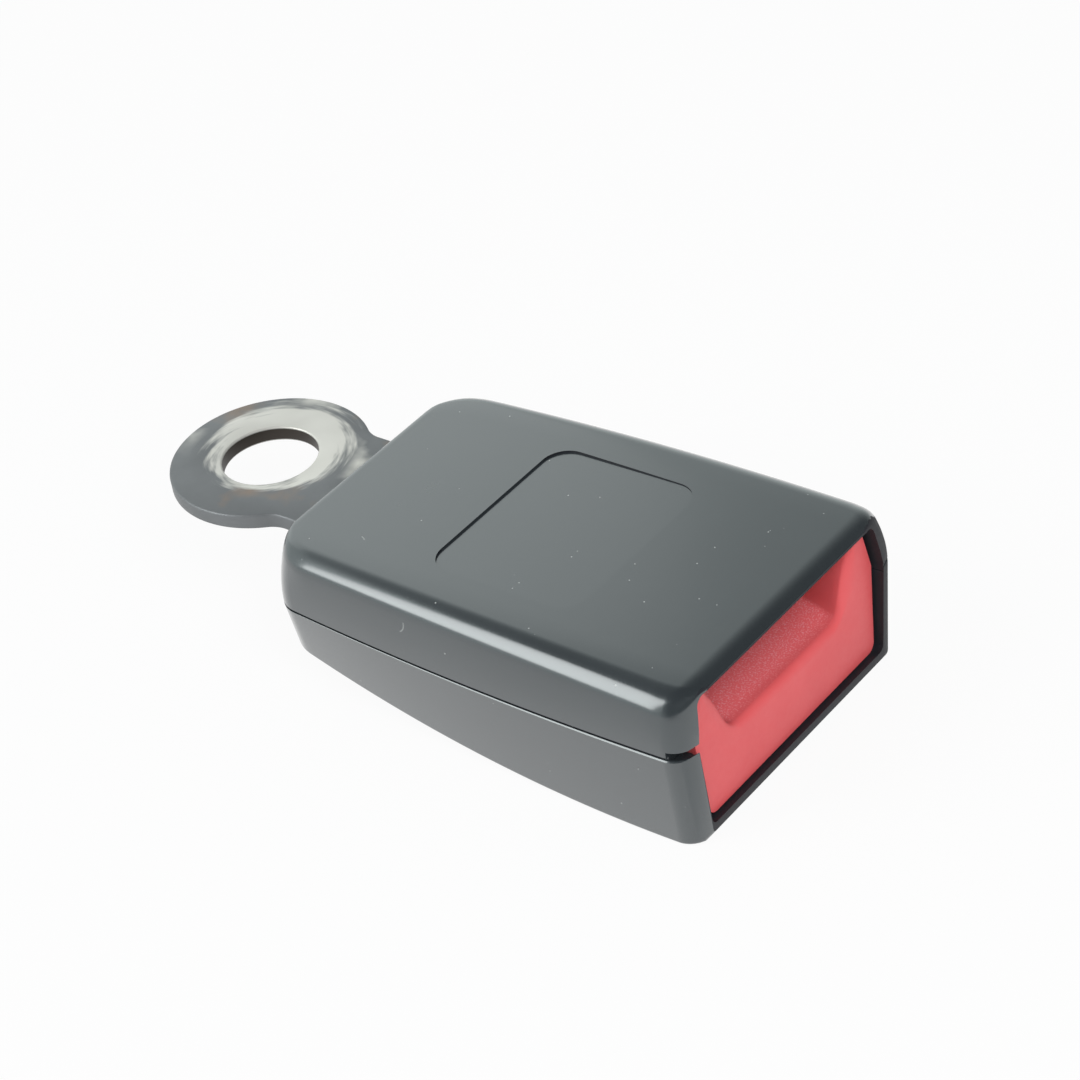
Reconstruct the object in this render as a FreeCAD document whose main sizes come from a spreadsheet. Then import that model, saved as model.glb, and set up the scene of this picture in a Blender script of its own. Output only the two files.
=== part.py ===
import FreeCAD, Part
import math
import os
import Sketcher

# Seat belt buckle with a press button, on a short steel anchor plate.
# +X runs from the anchor bolt to the mouth where the tongue enters, +Z out of the
# flat side of the housing. The origin is the centre of the anchor bolt hole, half
# way through the plate. Depths are counted downwards from that middle plane.

Vector = FreeCAD.Vector

SIZES = [
    # Anchor plate and its two rivets
    ("hole_radius", 6.0),
    ("eye_radius", 12.4),
    ("plate_thickness", 2.0),
    ("neck_half_width", 9.2),
    ("neck_fillet", 5.0),
    ("shoulder_start", 18.6),
    ("shoulder_edge", 3.8),
    ("rivet_edge", 4.6),
    ("rivet_radius", 2.0),
    ("rivet_head_radius", 3.1),
    ("rivet_crown_radius", 1.55),
    ("rivet_head_rise", 1.2),
    ("rivet_foot_radius", 2.8),
    ("rivet_foot_rise", 0.8),
    # Housing form
    ("housing_rear", 15.4),
    ("housing_front", 76.6),
    ("rear_side_room", 5.25),
    ("front_side_room", 7.7),
    ("side_bow", 0.67),
    ("parting_depth", 2.95),
    ("top_height", 4.73),
    ("top_crown", 0.42),
    ("top_draw_rear", 0.68),
    ("top_draw_front", 1.13),
    ("bottom_draw_rear", 1.11),
    ("bottom_draw_front", 1.1),
    ("rear_lean", 0.3),
    ("front_lean", 0.5),
    ("belly_rear", 9.59),
    ("belly_middle", 14.77),
    ("belly_front", 15.7),
    ("top_edge_radius", 2.76),
    ("bottom_edge_radius", 0.5),
    ("rear_corner_radius", 3.5),
    ("front_corner_radius", 2.9),
    ("front_roll_radius", 3.3),
    ("front_roll_length", 1.8),
    ("outer_spans", 6),
    ("wall_top", 1.6),
    ("wall_side", 2.2),
    ("wall_rear", 2.2),
    ("wall_bottom", 1.6),
    ("joint_gap", 0.12),
    ("rim_lip_height", 1.2),
    ("rim_lip_thickness", 0.9),
    ("mouth_depth", 5.0),
    ("mouth_side_wall", 2.9),
    ("mouth_bottom_wall", 1.6),
    ("mouth_lip_wall", 0.35),
    ("panel_start", 36.3),
    ("panel_end", 57.0),
    ("panel_half_width", 13.1),
    ("panel_corner_radius", 3.0),
    ("panel_sink", 0.35),
    # Frame
    ("frame_front", 59.4),
    ("frame_half_width", 13.6),
    ("frame_thickness", 1.8),
    ("frame_bend_radius", 2.2),
    ("flange_corner_radius", 3.4),
    ("channel_height", 2.6),
    ("flange_depth", 9.6),
    ("flange_step", 37.6),
    ("flange_slope", 2.6),
    ("window_front", 51.6),
    ("window_half_width", 7.2),
    ("slot_half_width", 1.6),
    # Latch and its pin
    ("pivot_position", 28.0),
    ("pivot_depth", 7.5),
    ("pin_radius", 1.5),
    ("pin_end", 1.2),
    ("clip_radius", 2.3),
    ("clip_thickness", 0.5),
    ("clip_groove", 0.4),
    ("clip_opening", 0.92),
    ("knuckle_radius", 2.4),
    ("latch_thickness", 2.0),
    ("latch_gap", 0.25),
    ("latch_fork", 5.6),
    ("latch_fork_end", 33.0),
    ("nose_rear", 46.0),
    ("nose_crest", 1.6),
    ("nose_front", 50.4),
    ("nose_half_width", 6.6),
    ("nose_reach", 1.1),
    ("ear_rear", 42.0),
    ("ear_front", 45.6),
    ("latch_spring_position", 38.6),
    ("latch_spring_radius", 3.4),
    ("latch_spring_top_radius", 2.2),
    ("latch_angle", 12.0),
    # Ejector
    ("ejector_front", 45.6),
    ("ejector_length", 8.0),
    ("ejector_half_width", 4.8),
    ("ejector_nose_radius", 1.15),
    ("ejector_travel", 8.0),
    ("ejector_key_inset", 4.4),
    ("ejector_key_length", 2.4),
    ("ejector_spring_radius", 1.15),
    ("ejector_seat_length", 3.2),
    ("ejector_rod", 4.0),
    ("ejector_rod_gap", 0.8),
    ("ejector_rod_radius", 0.55),
    ("ejector_cap_half", 3.2),
    ("ejector_cap_rise", 1.15),
    # Button
    ("button_front", 75.4),
    ("button_block", 8.9),
    ("button_gap", 0.35),
    ("button_side_gap", 0.75),
    ("button_ceiling_gap", 0.3),
    ("button_travel", 6.0),
    ("button_bottom_radius", 1.2),
    ("button_wall", 1.8),
    ("scoop_under_wall", 1.2),
    ("scoop_front_depth", 6.85),
    ("scoop_floor_edge", 9.05),
    ("scoop_corner_edge", 6.25),
    ("scoop_corner_rise", 1.55),
    ("scoop_side_edge", 3.35),
    ("scoop_side_rise", 4.65),
    ("scoop_top_edge", 2.45),
    ("lip_length", 0.4),
    ("lip_floor_edge", 7.25),
    ("lip_corner_edge", 6.45),
    ("lip_corner_rise", 1.05),
    ("lip_side_edge", 5.05),
    ("lip_side_rise", 5.05),
    ("lip_top_edge", 2.65),
    ("arm_rear", 38.0),
    ("arm_gap", 0.6),
    ("arm_thickness", 2.7),
    ("arm_top_depth", 1.6),
    ("stop_lug_rear", 52.0),
    ("stop_lug_length", 1.8),
    ("stop_lug_rise", 1.9),
    # Button springs and their guide pins
    ("spring_inset", 1.3),
    ("spring_depth", 3.8),
    ("button_spring_radius", 1.5),
    ("spring_wire", 0.5),
    ("guide_radius", 0.75),
    ("guide_collar", 0.9),
    ("guide_tip", 34.2),
    ("seat_rear", 21.8),
    ("seat_front", 25.2),
    # Tongue guide, pad and ribs
    ("guide_wedge_rear", 55.9),
    ("guide_wedge_front", 68.0),
    ("guide_wedge_toe", 61.8),
    ("guide_wedge_half", 11.4),
    ("pad_rear", 19.0),
    ("pad_half_width", 7.5),
    ("rib_thickness", 1.4),
    ("hold_rib_row", 9.6),
    ("hold_rib_rear", 38.0),
    # Fits
    ("slide_gap", 0.15),
    ("running_gap", 0.05),
    ("seat_gap", 0.05),
    ("free_gap", 0.3),
    ("cut_over", 1.0),
]

doc = FreeCAD.newDocument("buckle")
sheet = doc.addObject("Spreadsheet::Sheet", "Sizes")
for row, (alias, number) in enumerate(SIZES, 1):
    sheet.set("A%d" % row, alias.replace("_", " "))
    sheet.set("B%d" % row, "%g" % number)
    sheet.setAlias("B%d" % row, alias)
doc.recompute()

# Heights and places that several pieces share, as expressions on the sheet.
PLATE_TOP = "(Sizes.plate_thickness / 2)"
WEB_TOP = "(-Sizes.plate_thickness / 2)"
WEB_BOTTOM = "(-Sizes.plate_thickness / 2 - Sizes.frame_thickness)"
CHANNEL_BOTTOM = "(-Sizes.plate_thickness / 2 - Sizes.frame_thickness - Sizes.channel_height)"
FRAME_INNER = "(Sizes.frame_half_width - Sizes.frame_thickness)"
CEILING = "(Sizes.top_height - Sizes.wall_top)"
LATCH_TOP = "(" + CHANNEL_BOTTOM + " - Sizes.latch_gap)"
LATCH_BOTTOM = "(" + LATCH_TOP + " - Sizes.latch_thickness)"
EAR_TOP = "(" + LATCH_TOP + " - Sizes.free_gap)"
RAMP_TOP = "(" + EAR_TOP + " + Sizes.free_gap)"
EJECTOR_REAR = "(Sizes.ejector_front - Sizes.ejector_length)"
KEY_REAR = "(" + EJECTOR_REAR + " + Sizes.ejector_key_inset)"
SLOT_REAR = "(" + KEY_REAR + " - Sizes.ejector_travel - Sizes.free_gap)"
PLATE_END = "(" + SLOT_REAR + " - Sizes.free_gap)"
RIVET_PLACE = "(" + PLATE_END + " - Sizes.rivet_edge)"
RIVET_ROW = "(" + FRAME_INNER + " - Sizes.rivet_foot_radius - 2 * Sizes.free_gap)"
SHOULDER_HALF = "(" + RIVET_ROW + " + Sizes.shoulder_edge)"
PAD_FRONT = "(" + RIVET_PLACE + " - Sizes.rivet_head_radius - Sizes.free_gap)"
BUTTON_REAR = "(Sizes.button_front - Sizes.button_block)"
ARM_INNER = "(Sizes.frame_half_width + Sizes.arm_gap)"
ARM_OUTER = "(" + ARM_INNER + " + Sizes.arm_thickness)"
EAR_HALF = "(" + ARM_OUTER + " - Sizes.free_gap)"
SPRING_ROW = "(" + ARM_INNER + " + Sizes.spring_inset)"
REAR_HALF = "(Sizes.frame_half_width + Sizes.rear_side_room)"
FRONT_HALF = "(Sizes.frame_half_width + Sizes.front_side_room)"
BUTTON_HALF = "(" + FRONT_HALF + " - Sizes.mouth_side_wall - Sizes.button_side_gap)"
SEAT_END = "(" + EJECTOR_REAR + " - Sizes.ejector_travel - Sizes.ejector_rod - Sizes.ejector_rod_gap)"
FRAME_REAR = "(" + SEAT_END + " - Sizes.ejector_seat_length)"
SEAT_MIDDLE = "((" + FRAME_REAR + " + " + SEAT_END + ") / 2)"


def value(expression):
    return float(sheet.evalExpression(expression))


def size(alias):
    return value("Sizes." + alias)


def new_body(label):
    body = doc.addObject("PartDesign::Body", label)
    body.Label = label
    return body


def blank_sketch(body, role, offset=None):
    """An empty sketch on one of the body's own planes, moved along its normal."""
    plane = [item for item in body.Origin.OriginFeatures if item.Role == role][0]
    sketch = body.newObject("Sketcher::SketchObject", "sketch")
    sketch.AttachmentSupport = [(plane, "")]
    sketch.MapMode = "FlatFace"
    if offset:
        sketch.setExpression("AttachmentOffset.Base.z", offset)
    return sketch


def pin_point(sketch, index, end, x_place, y_place):
    """Ties one end of a line, or a circle's centre, to two sheet expressions."""
    for kind, place in (("DistanceX", x_place), ("DistanceY", y_place)):
        rule = Sketcher.Constraint(kind, -1, 1, index, end, value(place))
        number = sketch.addConstraint(rule)
        sketch.setExpression("Constraints[%d]" % number, place)


def polygon(body, role, points, offset=None):
    """A closed outline of straight lines with every corner bound to the sheet."""
    sketch = blank_sketch(body, role, offset)
    add_polygon(sketch, points)
    doc.recompute()
    return sketch


def add_polygon(sketch, points):
    first = sketch.GeometryCount
    count = len(points)
    for index, point in enumerate(points):
        following = points[(index + 1) % count]
        start = Vector(value(point[0]), value(point[1]), 0)
        finish = Vector(value(following[0]), value(following[1]), 0)
        sketch.addGeometry(Part.LineSegment(start, finish))
    for index in range(count):
        following = first + (index + 1) % count
        sketch.addConstraint(Sketcher.Constraint("Coincident", first + index, 2, following, 1))
    for index, point in enumerate(points):
        pin_point(sketch, first + index, 1, point[0], point[1])


def circles(body, role, centres, radius, offset=None):
    """Circles of one radius, with centres and radius bound to the sheet."""
    sketch = blank_sketch(body, role, offset)
    for place in centres:
        centre = Vector(value(place[0]), value(place[1]), 0)
        number = sketch.addGeometry(Part.Circle(centre, Vector(0, 0, 1), value(radius)))
        pin_point(sketch, number, 3, place[0], place[1])
        rule = sketch.addConstraint(Sketcher.Constraint("Radius", number, value(radius)))
        sketch.setExpression("Constraints[%d]" % rule, radius)
    doc.recompute()
    return sketch


def rectangle(low_x, low_y, high_x, high_y):
    return [(low_x, low_y), (high_x, low_y), (high_x, high_y), (low_x, high_y)]


def pad(body, sketch, length, middle=False, backwards=False):
    feature = body.newObject("PartDesign::Pad", "pad")
    feature.Profile = sketch
    feature.setExpression("Length", length)
    feature.SideType = "Symmetric" if middle else "One side"
    feature.Reversed = backwards
    doc.recompute()
    return feature


def pocket(body, sketch, length=None, backwards=False):
    """Cuts through everything both ways, or to a length from the sketch's plane."""
    before = body.Shape.Volume
    feature = body.newObject("PartDesign::Pocket", "pocket")
    feature.Profile = sketch
    if length:
        feature.setExpression("Length", length)
        feature.Reversed = backwards
    else:
        feature.Type = "ThroughAll"
        feature.SideType = "Symmetric"
    doc.recompute()
    if body.Shape.Volume >= before:
        raise RuntimeError("a pocket cut nothing in " + body.Label)
    return feature


def revolve(body, sketch, axis):
    feature = body.newObject("PartDesign::Revolution", "turned")
    feature.Profile = sketch
    feature.ReferenceAxis = (sketch, [axis])
    feature.Angle = 360
    doc.recompute()
    return feature


def fillet(body, radius, wanted):
    """Rounds the edges of the body's tip that the test picks."""
    base = body.Tip
    names = []
    for number, edge in enumerate(base.Shape.Edges, 1):
        if wanted(edge):
            names.append("Edge%d" % number)
    if not names:
        raise RuntimeError("no edge to round in " + body.Label)
    feature = body.newObject("PartDesign::Fillet", "rounding")
    feature.Base = (base, names)
    feature.setExpression("Radius", radius)
    doc.recompute()
    return feature


def along(edge, axis):
    """True for a straight edge that runs along the axis."""
    if edge.Curve.TypeId != "Part::GeomLine":
        return False
    run = edge.Vertexes[-1].Point.sub(edge.Vertexes[0].Point)
    return abs(run.dot(axis)) > 0.999 * run.Length


def near(first, second):
    return abs(first - second) < 0.01


OVER = size("cut_over")
ALONG_X = Vector(1, 0, 0)
ALONG_Y = Vector(0, 1, 0)
ALONG_Z = Vector(0, 0, 1)


def make_anchor_plate():
    """Stamped steel eye with a necked shank that is riveted on the frame's web."""
    body = new_body("anchor_plate")
    eye = circles(body, "XY_Plane", [("0", "0")], "Sizes.eye_radius", WEB_TOP)
    pad(body, eye, "Sizes.plate_thickness")
    neck = "Sizes.neck_half_width"
    wide = SHOULDER_HALF
    start = "Sizes.shoulder_start"
    slope_end = "(Sizes.shoulder_start + " + SHOULDER_HALF + " - Sizes.neck_half_width)"
    end = PLATE_END
    shank = [("0", "-" + neck), (start, "-" + neck), (slope_end, "-" + wide), (end, "-" + wide),
             (end, wide), (slope_end, wide), (start, neck), ("0", neck)]
    pad(body, polygon(body, "XY_Plane", shank, WEB_TOP), "Sizes.plate_thickness")

    def waist(edge):
        point = edge.CenterOfMass
        from_hole = math.hypot(point.x, point.y)
        return along(edge, ALONG_Z) and point.x > 0 and near(from_hole, size("eye_radius"))

    fillet(body, "Sizes.neck_fillet", waist)
    pocket(body, circles(body, "XY_Plane", [("0", "0")], "Sizes.hole_radius"))
    pocket(body, circles(body, "XY_Plane", rivet_centres(), "(Sizes.rivet_radius + Sizes.running_gap)"))
    return body


def rivet_centres():
    return [(RIVET_PLACE, "-" + RIVET_ROW), (RIVET_PLACE, RIVET_ROW)]


def make_rivet(label, side):
    """Rivet with a domed head on the plate and a flat upset foot under the web."""
    body = new_body(label)
    head = "Sizes.rivet_head_radius"
    shank = "Sizes.rivet_radius"
    top = "(" + PLATE_TOP + " + Sizes.seat_gap)"
    foot = "(" + WEB_BOTTOM + " - Sizes.seat_gap)"
    crown = "(" + PLATE_TOP + " + Sizes.rivet_head_rise)"
    base = "(" + WEB_BOTTOM + " - Sizes.rivet_foot_rise)"
    shoulder = "(" + PLATE_TOP + " + Sizes.rivet_head_rise / 2)"
    wide_foot = "Sizes.rivet_foot_radius"
    profile = [("0", base), (wide_foot, base), (wide_foot, foot), (shank, foot), (shank, top), (head, top),
               (wide_foot, shoulder), ("Sizes.rivet_crown_radius", crown), ("0", crown)]
    revolve(body, polygon(body, "XZ_Plane", profile), "V_Axis")
    body.setExpression("Placement.Base.x", RIVET_PLACE)
    body.setExpression("Placement.Base.y", side + RIVET_ROW)
    return body


def make_frame():
    """Steel channel: web over the tongue, flanges down to carry the latch pin."""
    body = new_body("frame")
    wide = "Sizes.frame_half_width"
    low = "-Sizes.flange_depth"
    section = [("-" + wide, low), ("-" + FRAME_INNER, low), ("-" + FRAME_INNER, WEB_BOTTOM),
               (FRAME_INNER, WEB_BOTTOM), (FRAME_INNER, low), (wide, low), (wide, WEB_TOP),
               ("-" + wide, WEB_TOP)]
    pad(body, polygon(body, "YZ_Plane", section, FRAME_REAR), "Sizes.frame_front - " + FRAME_REAR)

    def outer_bend(edge):
        point = edge.CenterOfMass
        return along(edge, ALONG_X) and near(point.z, value(WEB_TOP))

    fillet(body, "Sizes.frame_bend_radius", outer_bend)
    step = "Sizes.flange_step"
    slope = "(Sizes.flange_step + Sizes.flange_slope)"
    front = "(Sizes.frame_front + Sizes.cut_over)"
    rail = CHANNEL_BOTTOM
    below = "(-Sizes.flange_depth - Sizes.cut_over)"
    cutback = [(step, below), (front, below), (front, rail), (slope, rail), (step, low)]
    pocket(body, polygon(body, "XZ_Plane", cutback))
    nose_gap = "(Sizes.nose_rear - 2 * Sizes.free_gap)"
    half = "Sizes.window_half_width"
    slot = "Sizes.slot_half_width"
    window = [(nose_gap, "-" + half), ("Sizes.window_front", "-" + half), ("Sizes.window_front", half),
              (nose_gap, half), (nose_gap, slot), (SLOT_REAR, slot), (SLOT_REAR, "-" + slot),
              (nose_gap, "-" + slot)]
    pocket(body, polygon(body, "XY_Plane", window))
    pivot = [("Sizes.pivot_position", "-Sizes.pivot_depth")]
    pocket(body, circles(body, "XZ_Plane", pivot, "(Sizes.pin_radius + Sizes.running_gap)"))
    pocket(body, circles(body, "XY_Plane", rivet_centres(), "(Sizes.rivet_radius + Sizes.running_gap)"))
    peg = [(SEAT_MIDDLE, "0")]
    pocket(body, circles(body, "XY_Plane", peg, "(Sizes.guide_radius + Sizes.running_gap)"))

    def flange_corner(edge):
        point = edge.CenterOfMass
        return along(edge, ALONG_Y) and near(point.x, value(FRAME_REAR)) and near(point.z, value(low))

    fillet(body, "Sizes.flange_corner_radius", flange_corner)
    return body


def make_latch_pin():
    """Turned pin across both flanges, grooved at each end for its clip."""
    body = new_body("latch_pin")
    end = "(Sizes.frame_half_width + Sizes.pin_end)"
    inner = "(Sizes.frame_half_width + Sizes.seat_gap)"
    outer = "(Sizes.frame_half_width + Sizes.seat_gap * 3 + Sizes.clip_thickness)"
    neck = "(Sizes.pin_radius - Sizes.clip_groove)"
    full = "Sizes.pin_radius"
    profile = [("-" + end, "0"), ("-" + end, full), ("-" + outer, full), ("-" + outer, neck),
               ("-" + inner, neck), ("-" + inner, full), (inner, full), (inner, neck),
               (outer, neck), (outer, full), (end, full), (end, "0")]
    revolve(body, polygon(body, "YZ_Plane", profile), "H_Axis")
    body.setExpression("Placement.Base.x", "Sizes.pivot_position")
    body.setExpression("Placement.Base.z", "-Sizes.pivot_depth")
    return body


def make_clip(label, side):
    """Open spring clip snapped into the groove at one end of the latch pin."""
    body = new_body(label)
    near_face = "(Sizes.frame_half_width + Sizes.seat_gap * 2)"
    far_face = "(Sizes.frame_half_width + Sizes.seat_gap * 2 + Sizes.clip_thickness)"
    # The XZ plane's normal is -Y, so the offset of a piece at +Y is negative.
    offset = "-" + far_face if side == "+" else near_face
    disc = circles(body, "XZ_Plane", [("0", "0")], "Sizes.clip_radius", offset)
    pad(body, disc, "Sizes.clip_thickness")
    bore = "(Sizes.pin_radius - Sizes.clip_groove + Sizes.running_gap)"
    pocket(body, circles(body, "XZ_Plane", [("0", "0")], bore))
    half_opening = "Sizes.clip_opening"
    opening = rectangle("-" + half_opening, "-2 * Sizes.clip_radius", half_opening, "0")
    pocket(body, polygon(body, "XZ_Plane", opening))
    body.setExpression("Placement.Base.x", "Sizes.pivot_position")
    body.setExpression("Placement.Base.z", "-Sizes.pivot_depth")
    return body


def make_latch():
    """Hardened lever: forked round the ejector, with a nose and two side ears."""
    body = new_body("latch")
    width = "2 * (" + FRAME_INNER + " - Sizes.slide_gap)"
    start = "Sizes.pivot_position"
    taper = "Sizes.ear_rear"
    arm = [(start, LATCH_BOTTOM), (taper, LATCH_BOTTOM),
           ("Sizes.nose_front", "(" + LATCH_TOP + " - Sizes.latch_thickness / 2)"),
           ("Sizes.nose_front", LATCH_TOP), (start, LATCH_TOP)]
    pad(body, polygon(body, "XZ_Plane", arm), width, middle=True)
    pivot = [(start, "-Sizes.pivot_depth")]
    pad(body, circles(body, "XZ_Plane", pivot, "Sizes.knuckle_radius"), width, middle=True)
    crest = "(" + WEB_BOTTOM + " + Sizes.nose_reach)"
    nose = [("Sizes.nose_rear", LATCH_BOTTOM), ("Sizes.nose_front - Sizes.nose_crest", LATCH_BOTTOM),
            ("Sizes.nose_front", LATCH_TOP), ("(Sizes.nose_rear + Sizes.nose_crest)", crest),
            ("Sizes.nose_rear", crest)]
    pad(body, polygon(body, "XZ_Plane", nose), "2 * Sizes.nose_half_width", middle=True)
    ears = rectangle("Sizes.ear_rear", LATCH_BOTTOM, "Sizes.ear_front", EAR_TOP)
    pad(body, polygon(body, "XZ_Plane", ears), "2 * " + EAR_HALF, middle=True)
    rear = "(Sizes.pivot_position - 2 * Sizes.knuckle_radius)"
    fork = rectangle(rear, "-Sizes.latch_fork", "Sizes.latch_fork_end", "Sizes.latch_fork")
    pocket(body, polygon(body, "XY_Plane", fork))
    pocket(body, circles(body, "XZ_Plane", pivot, "(Sizes.pin_radius + Sizes.running_gap)"))

    def side_of_nose(edge):
        point = edge.CenterOfMass
        on_side = near(abs(point.y), size("nose_half_width"))
        return on_side and along(edge, ALONG_Z) and near(point.x, size("nose_rear"))

    fillet(body, "Sizes.free_gap", side_of_nose)
    return body


def make_ejector():
    """Moulded slider that the spring pushes behind the tongue, keyed in the web."""
    body = new_body("ejector")
    low = "(" + CHANNEL_BOTTOM + " + Sizes.slide_gap)"
    high = "(" + WEB_BOTTOM + " - Sizes.slide_gap)"
    block = rectangle(EJECTOR_REAR, low, "Sizes.ejector_front", high)
    pad(body, polygon(body, "XZ_Plane", block), "2 * Sizes.ejector_half_width", middle=True)
    key_front = "(" + KEY_REAR + " + Sizes.ejector_key_length)"
    head = "(" + WEB_TOP + " + Sizes.slide_gap)"
    key = rectangle(KEY_REAR, low, key_front, head)
    pad(body, polygon(body, "XZ_Plane", key), "2 * (Sizes.slot_half_width - Sizes.slide_gap)", middle=True)
    cap = rectangle(KEY_REAR, head, key_front, "(" + head + " + Sizes.ejector_cap_rise)")
    pad(body, polygon(body, "XZ_Plane", cap), "2 * Sizes.ejector_cap_half", middle=True)

    def leading_side(edge):
        point = edge.CenterOfMass
        return along(edge, ALONG_Z) and near(abs(point.y), size("ejector_half_width"))

    fillet(body, "Sizes.ejector_nose_radius", leading_side)
    return body


def spring_line():
    """Depth of the ejector spring's axis, half way down the tongue channel."""
    return "((" + WEB_BOTTOM + " + " + CHANNEL_BOTTOM + ") / 2)"


def make_ejector_seat():
    """Moulded seat in the channel's closed end: a peg up in the web, a rod forward."""
    body = new_body("ejector_spring_seat")
    low = "(" + CHANNEL_BOTTOM + " + Sizes.slide_gap)"
    high = "(" + WEB_BOTTOM + " - Sizes.seat_gap)"
    block = rectangle(FRAME_REAR, low, SEAT_END, high)
    pad(body, polygon(body, "XZ_Plane", block), "2 * Sizes.latch_fork", middle=True)
    peg = [(SEAT_MIDDLE, "0")]
    pad(body, circles(body, "XY_Plane", peg, "Sizes.guide_radius", high),
        "(Sizes.frame_thickness + Sizes.seat_gap / 2)")
    rod = circles(body, "YZ_Plane", [("0", spring_line())], "Sizes.ejector_rod_radius", SEAT_END)
    pad(body, rod, "Sizes.ejector_rod")
    return body


def make_spring_guide(label, side):
    """Headed guide pin: stub in the cover's seat, collar under the spring's end."""
    body = new_body(label)
    stub = "(Sizes.seat_front - (Sizes.seat_front - Sizes.seat_rear) / 2)"
    face = "(Sizes.seat_front + Sizes.seat_gap)"
    collar = "(Sizes.seat_front + Sizes.guide_collar)"
    thin = "Sizes.guide_radius"
    wide = "Sizes.button_spring_radius"
    profile = [(stub, "0"), (stub, thin), (face, thin), (face, wide), (collar, wide), (collar, thin),
               ("Sizes.guide_tip", thin), ("Sizes.guide_tip", "0")]
    revolve(body, polygon(body, "XZ_Plane", profile), "H_Axis")
    body.setExpression("Placement.Base.y", side + SPRING_ROW)
    body.setExpression("Placement.Base.z", "-Sizes.spring_depth")
    return body


def mouth_half(height):
    """Half-width of the mouth's inside at a height, as drawn by the housing."""
    rear, front = half_widths(height)
    return front - size("mouth_side_wall")


def make_button():
    """Press button: a block with a finger scoop, and two arms back to the ears."""
    body = new_body("button")
    top = "(" + CEILING + " - Sizes.button_ceiling_gap)"
    bottom = "(-Sizes.belly_front + Sizes.mouth_bottom_wall + Sizes.button_gap)"
    parting = "(-Sizes.parting_depth)"
    top_half = "(" + BUTTON_HALF + " - Sizes.top_draw_front)"
    bottom_half = "(" + BUTTON_HALF + " - Sizes.bottom_draw_front)"
    face = [("-" + bottom_half, bottom), (bottom_half, bottom), (BUTTON_HALF, parting), (top_half, top),
            ("-" + top_half, top), ("-" + BUTTON_HALF, parting)]
    pad(body, polygon(body, "YZ_Plane", face, BUTTON_REAR), "Sizes.button_block")

    def low_corner(edge):
        return along(edge, ALONG_X) and near(edge.CenterOfMass.z, value(bottom))

    fillet(body, "Sizes.button_bottom_radius", low_corner)
    add_arms(body)
    add_scoop(body)
    hollow_low = "(" + bottom + " + Sizes.button_wall)"
    hollow_high = "(-Sizes.scoop_front_depth - Sizes.scoop_under_wall)"
    hollow_half = "(" + bottom_half + " - Sizes.button_wall)"
    hollow = rectangle("-" + hollow_half, hollow_low, hollow_half, hollow_high)
    pocket(body, polygon(body, "YZ_Plane", hollow, BUTTON_REAR), "(Sizes.button_block - Sizes.button_wall)",
           backwards=True)
    return body


def scoop_section(floor, floor_half, corner, side, top_half):
    """Half outline of the scoop on the right, mirrored to the left."""
    above = "(" + CEILING + " + Sizes.cut_over)"
    right = [(floor_half, floor), (corner[0], corner[1]), (side[0], side[1]), (top_half, above)]
    left = [("-" + point[0], point[1]) for point in reversed(right)]
    return right + left


def from_side(edge):
    """A half-width on the button, counted inwards from its side."""
    return "(" + BUTTON_HALF + " - Sizes." + edge + ")"


def add_scoop(body):
    """Lofted hollow for the finger: a level floor, and a lip that drops to the face."""
    crest = "(-Sizes.scoop_front_depth)"
    front = scoop_section(crest, from_side("scoop_floor_edge"),
                          (from_side("scoop_corner_edge"), "(" + crest + " + Sizes.scoop_corner_rise)"),
                          (from_side("scoop_side_edge"), "(" + crest + " + Sizes.scoop_side_rise)"),
                          from_side("scoop_top_edge"))
    level = "(" + CHANNEL_BOTTOM + " - Sizes.slide_gap)"
    lip = scoop_section(level, from_side("lip_floor_edge"),
                        (from_side("lip_corner_edge"), "(" + level + " + Sizes.lip_corner_rise)"),
                        (from_side("lip_side_edge"), "(" + level + " + Sizes.lip_side_rise)"),
                        from_side("lip_top_edge"))
    inner = "(" + ARM_INNER + " - Sizes.rib_thickness)"
    rear = scoop_section(level, "(" + inner + " - Sizes.free_gap)",
                         (inner, "(" + level + " + Sizes.free_gap)"),
                         ("(" + inner + " + Sizes.slide_gap)", "(" + level + " + 4 * Sizes.free_gap)"),
                         "(" + inner + " + Sizes.free_gap)")
    rear_sketch = polygon(body, "YZ_Plane", rear, BUTTON_REAR)
    lip_sketch = polygon(body, "YZ_Plane", lip, "(Sizes.button_front - Sizes.lip_length)")
    front_sketch = polygon(body, "YZ_Plane", front, "Sizes.button_front")
    before = body.Shape.Volume
    scoop = body.newObject("PartDesign::SubtractiveLoft", "scoop")
    scoop.Profile = rear_sketch
    scoop.Sections = [lip_sketch, front_sketch]
    scoop.Ruled = True
    doc.recompute()
    if body.Shape.Volume >= before:
        raise RuntimeError("the scoop cut nothing")


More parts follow.
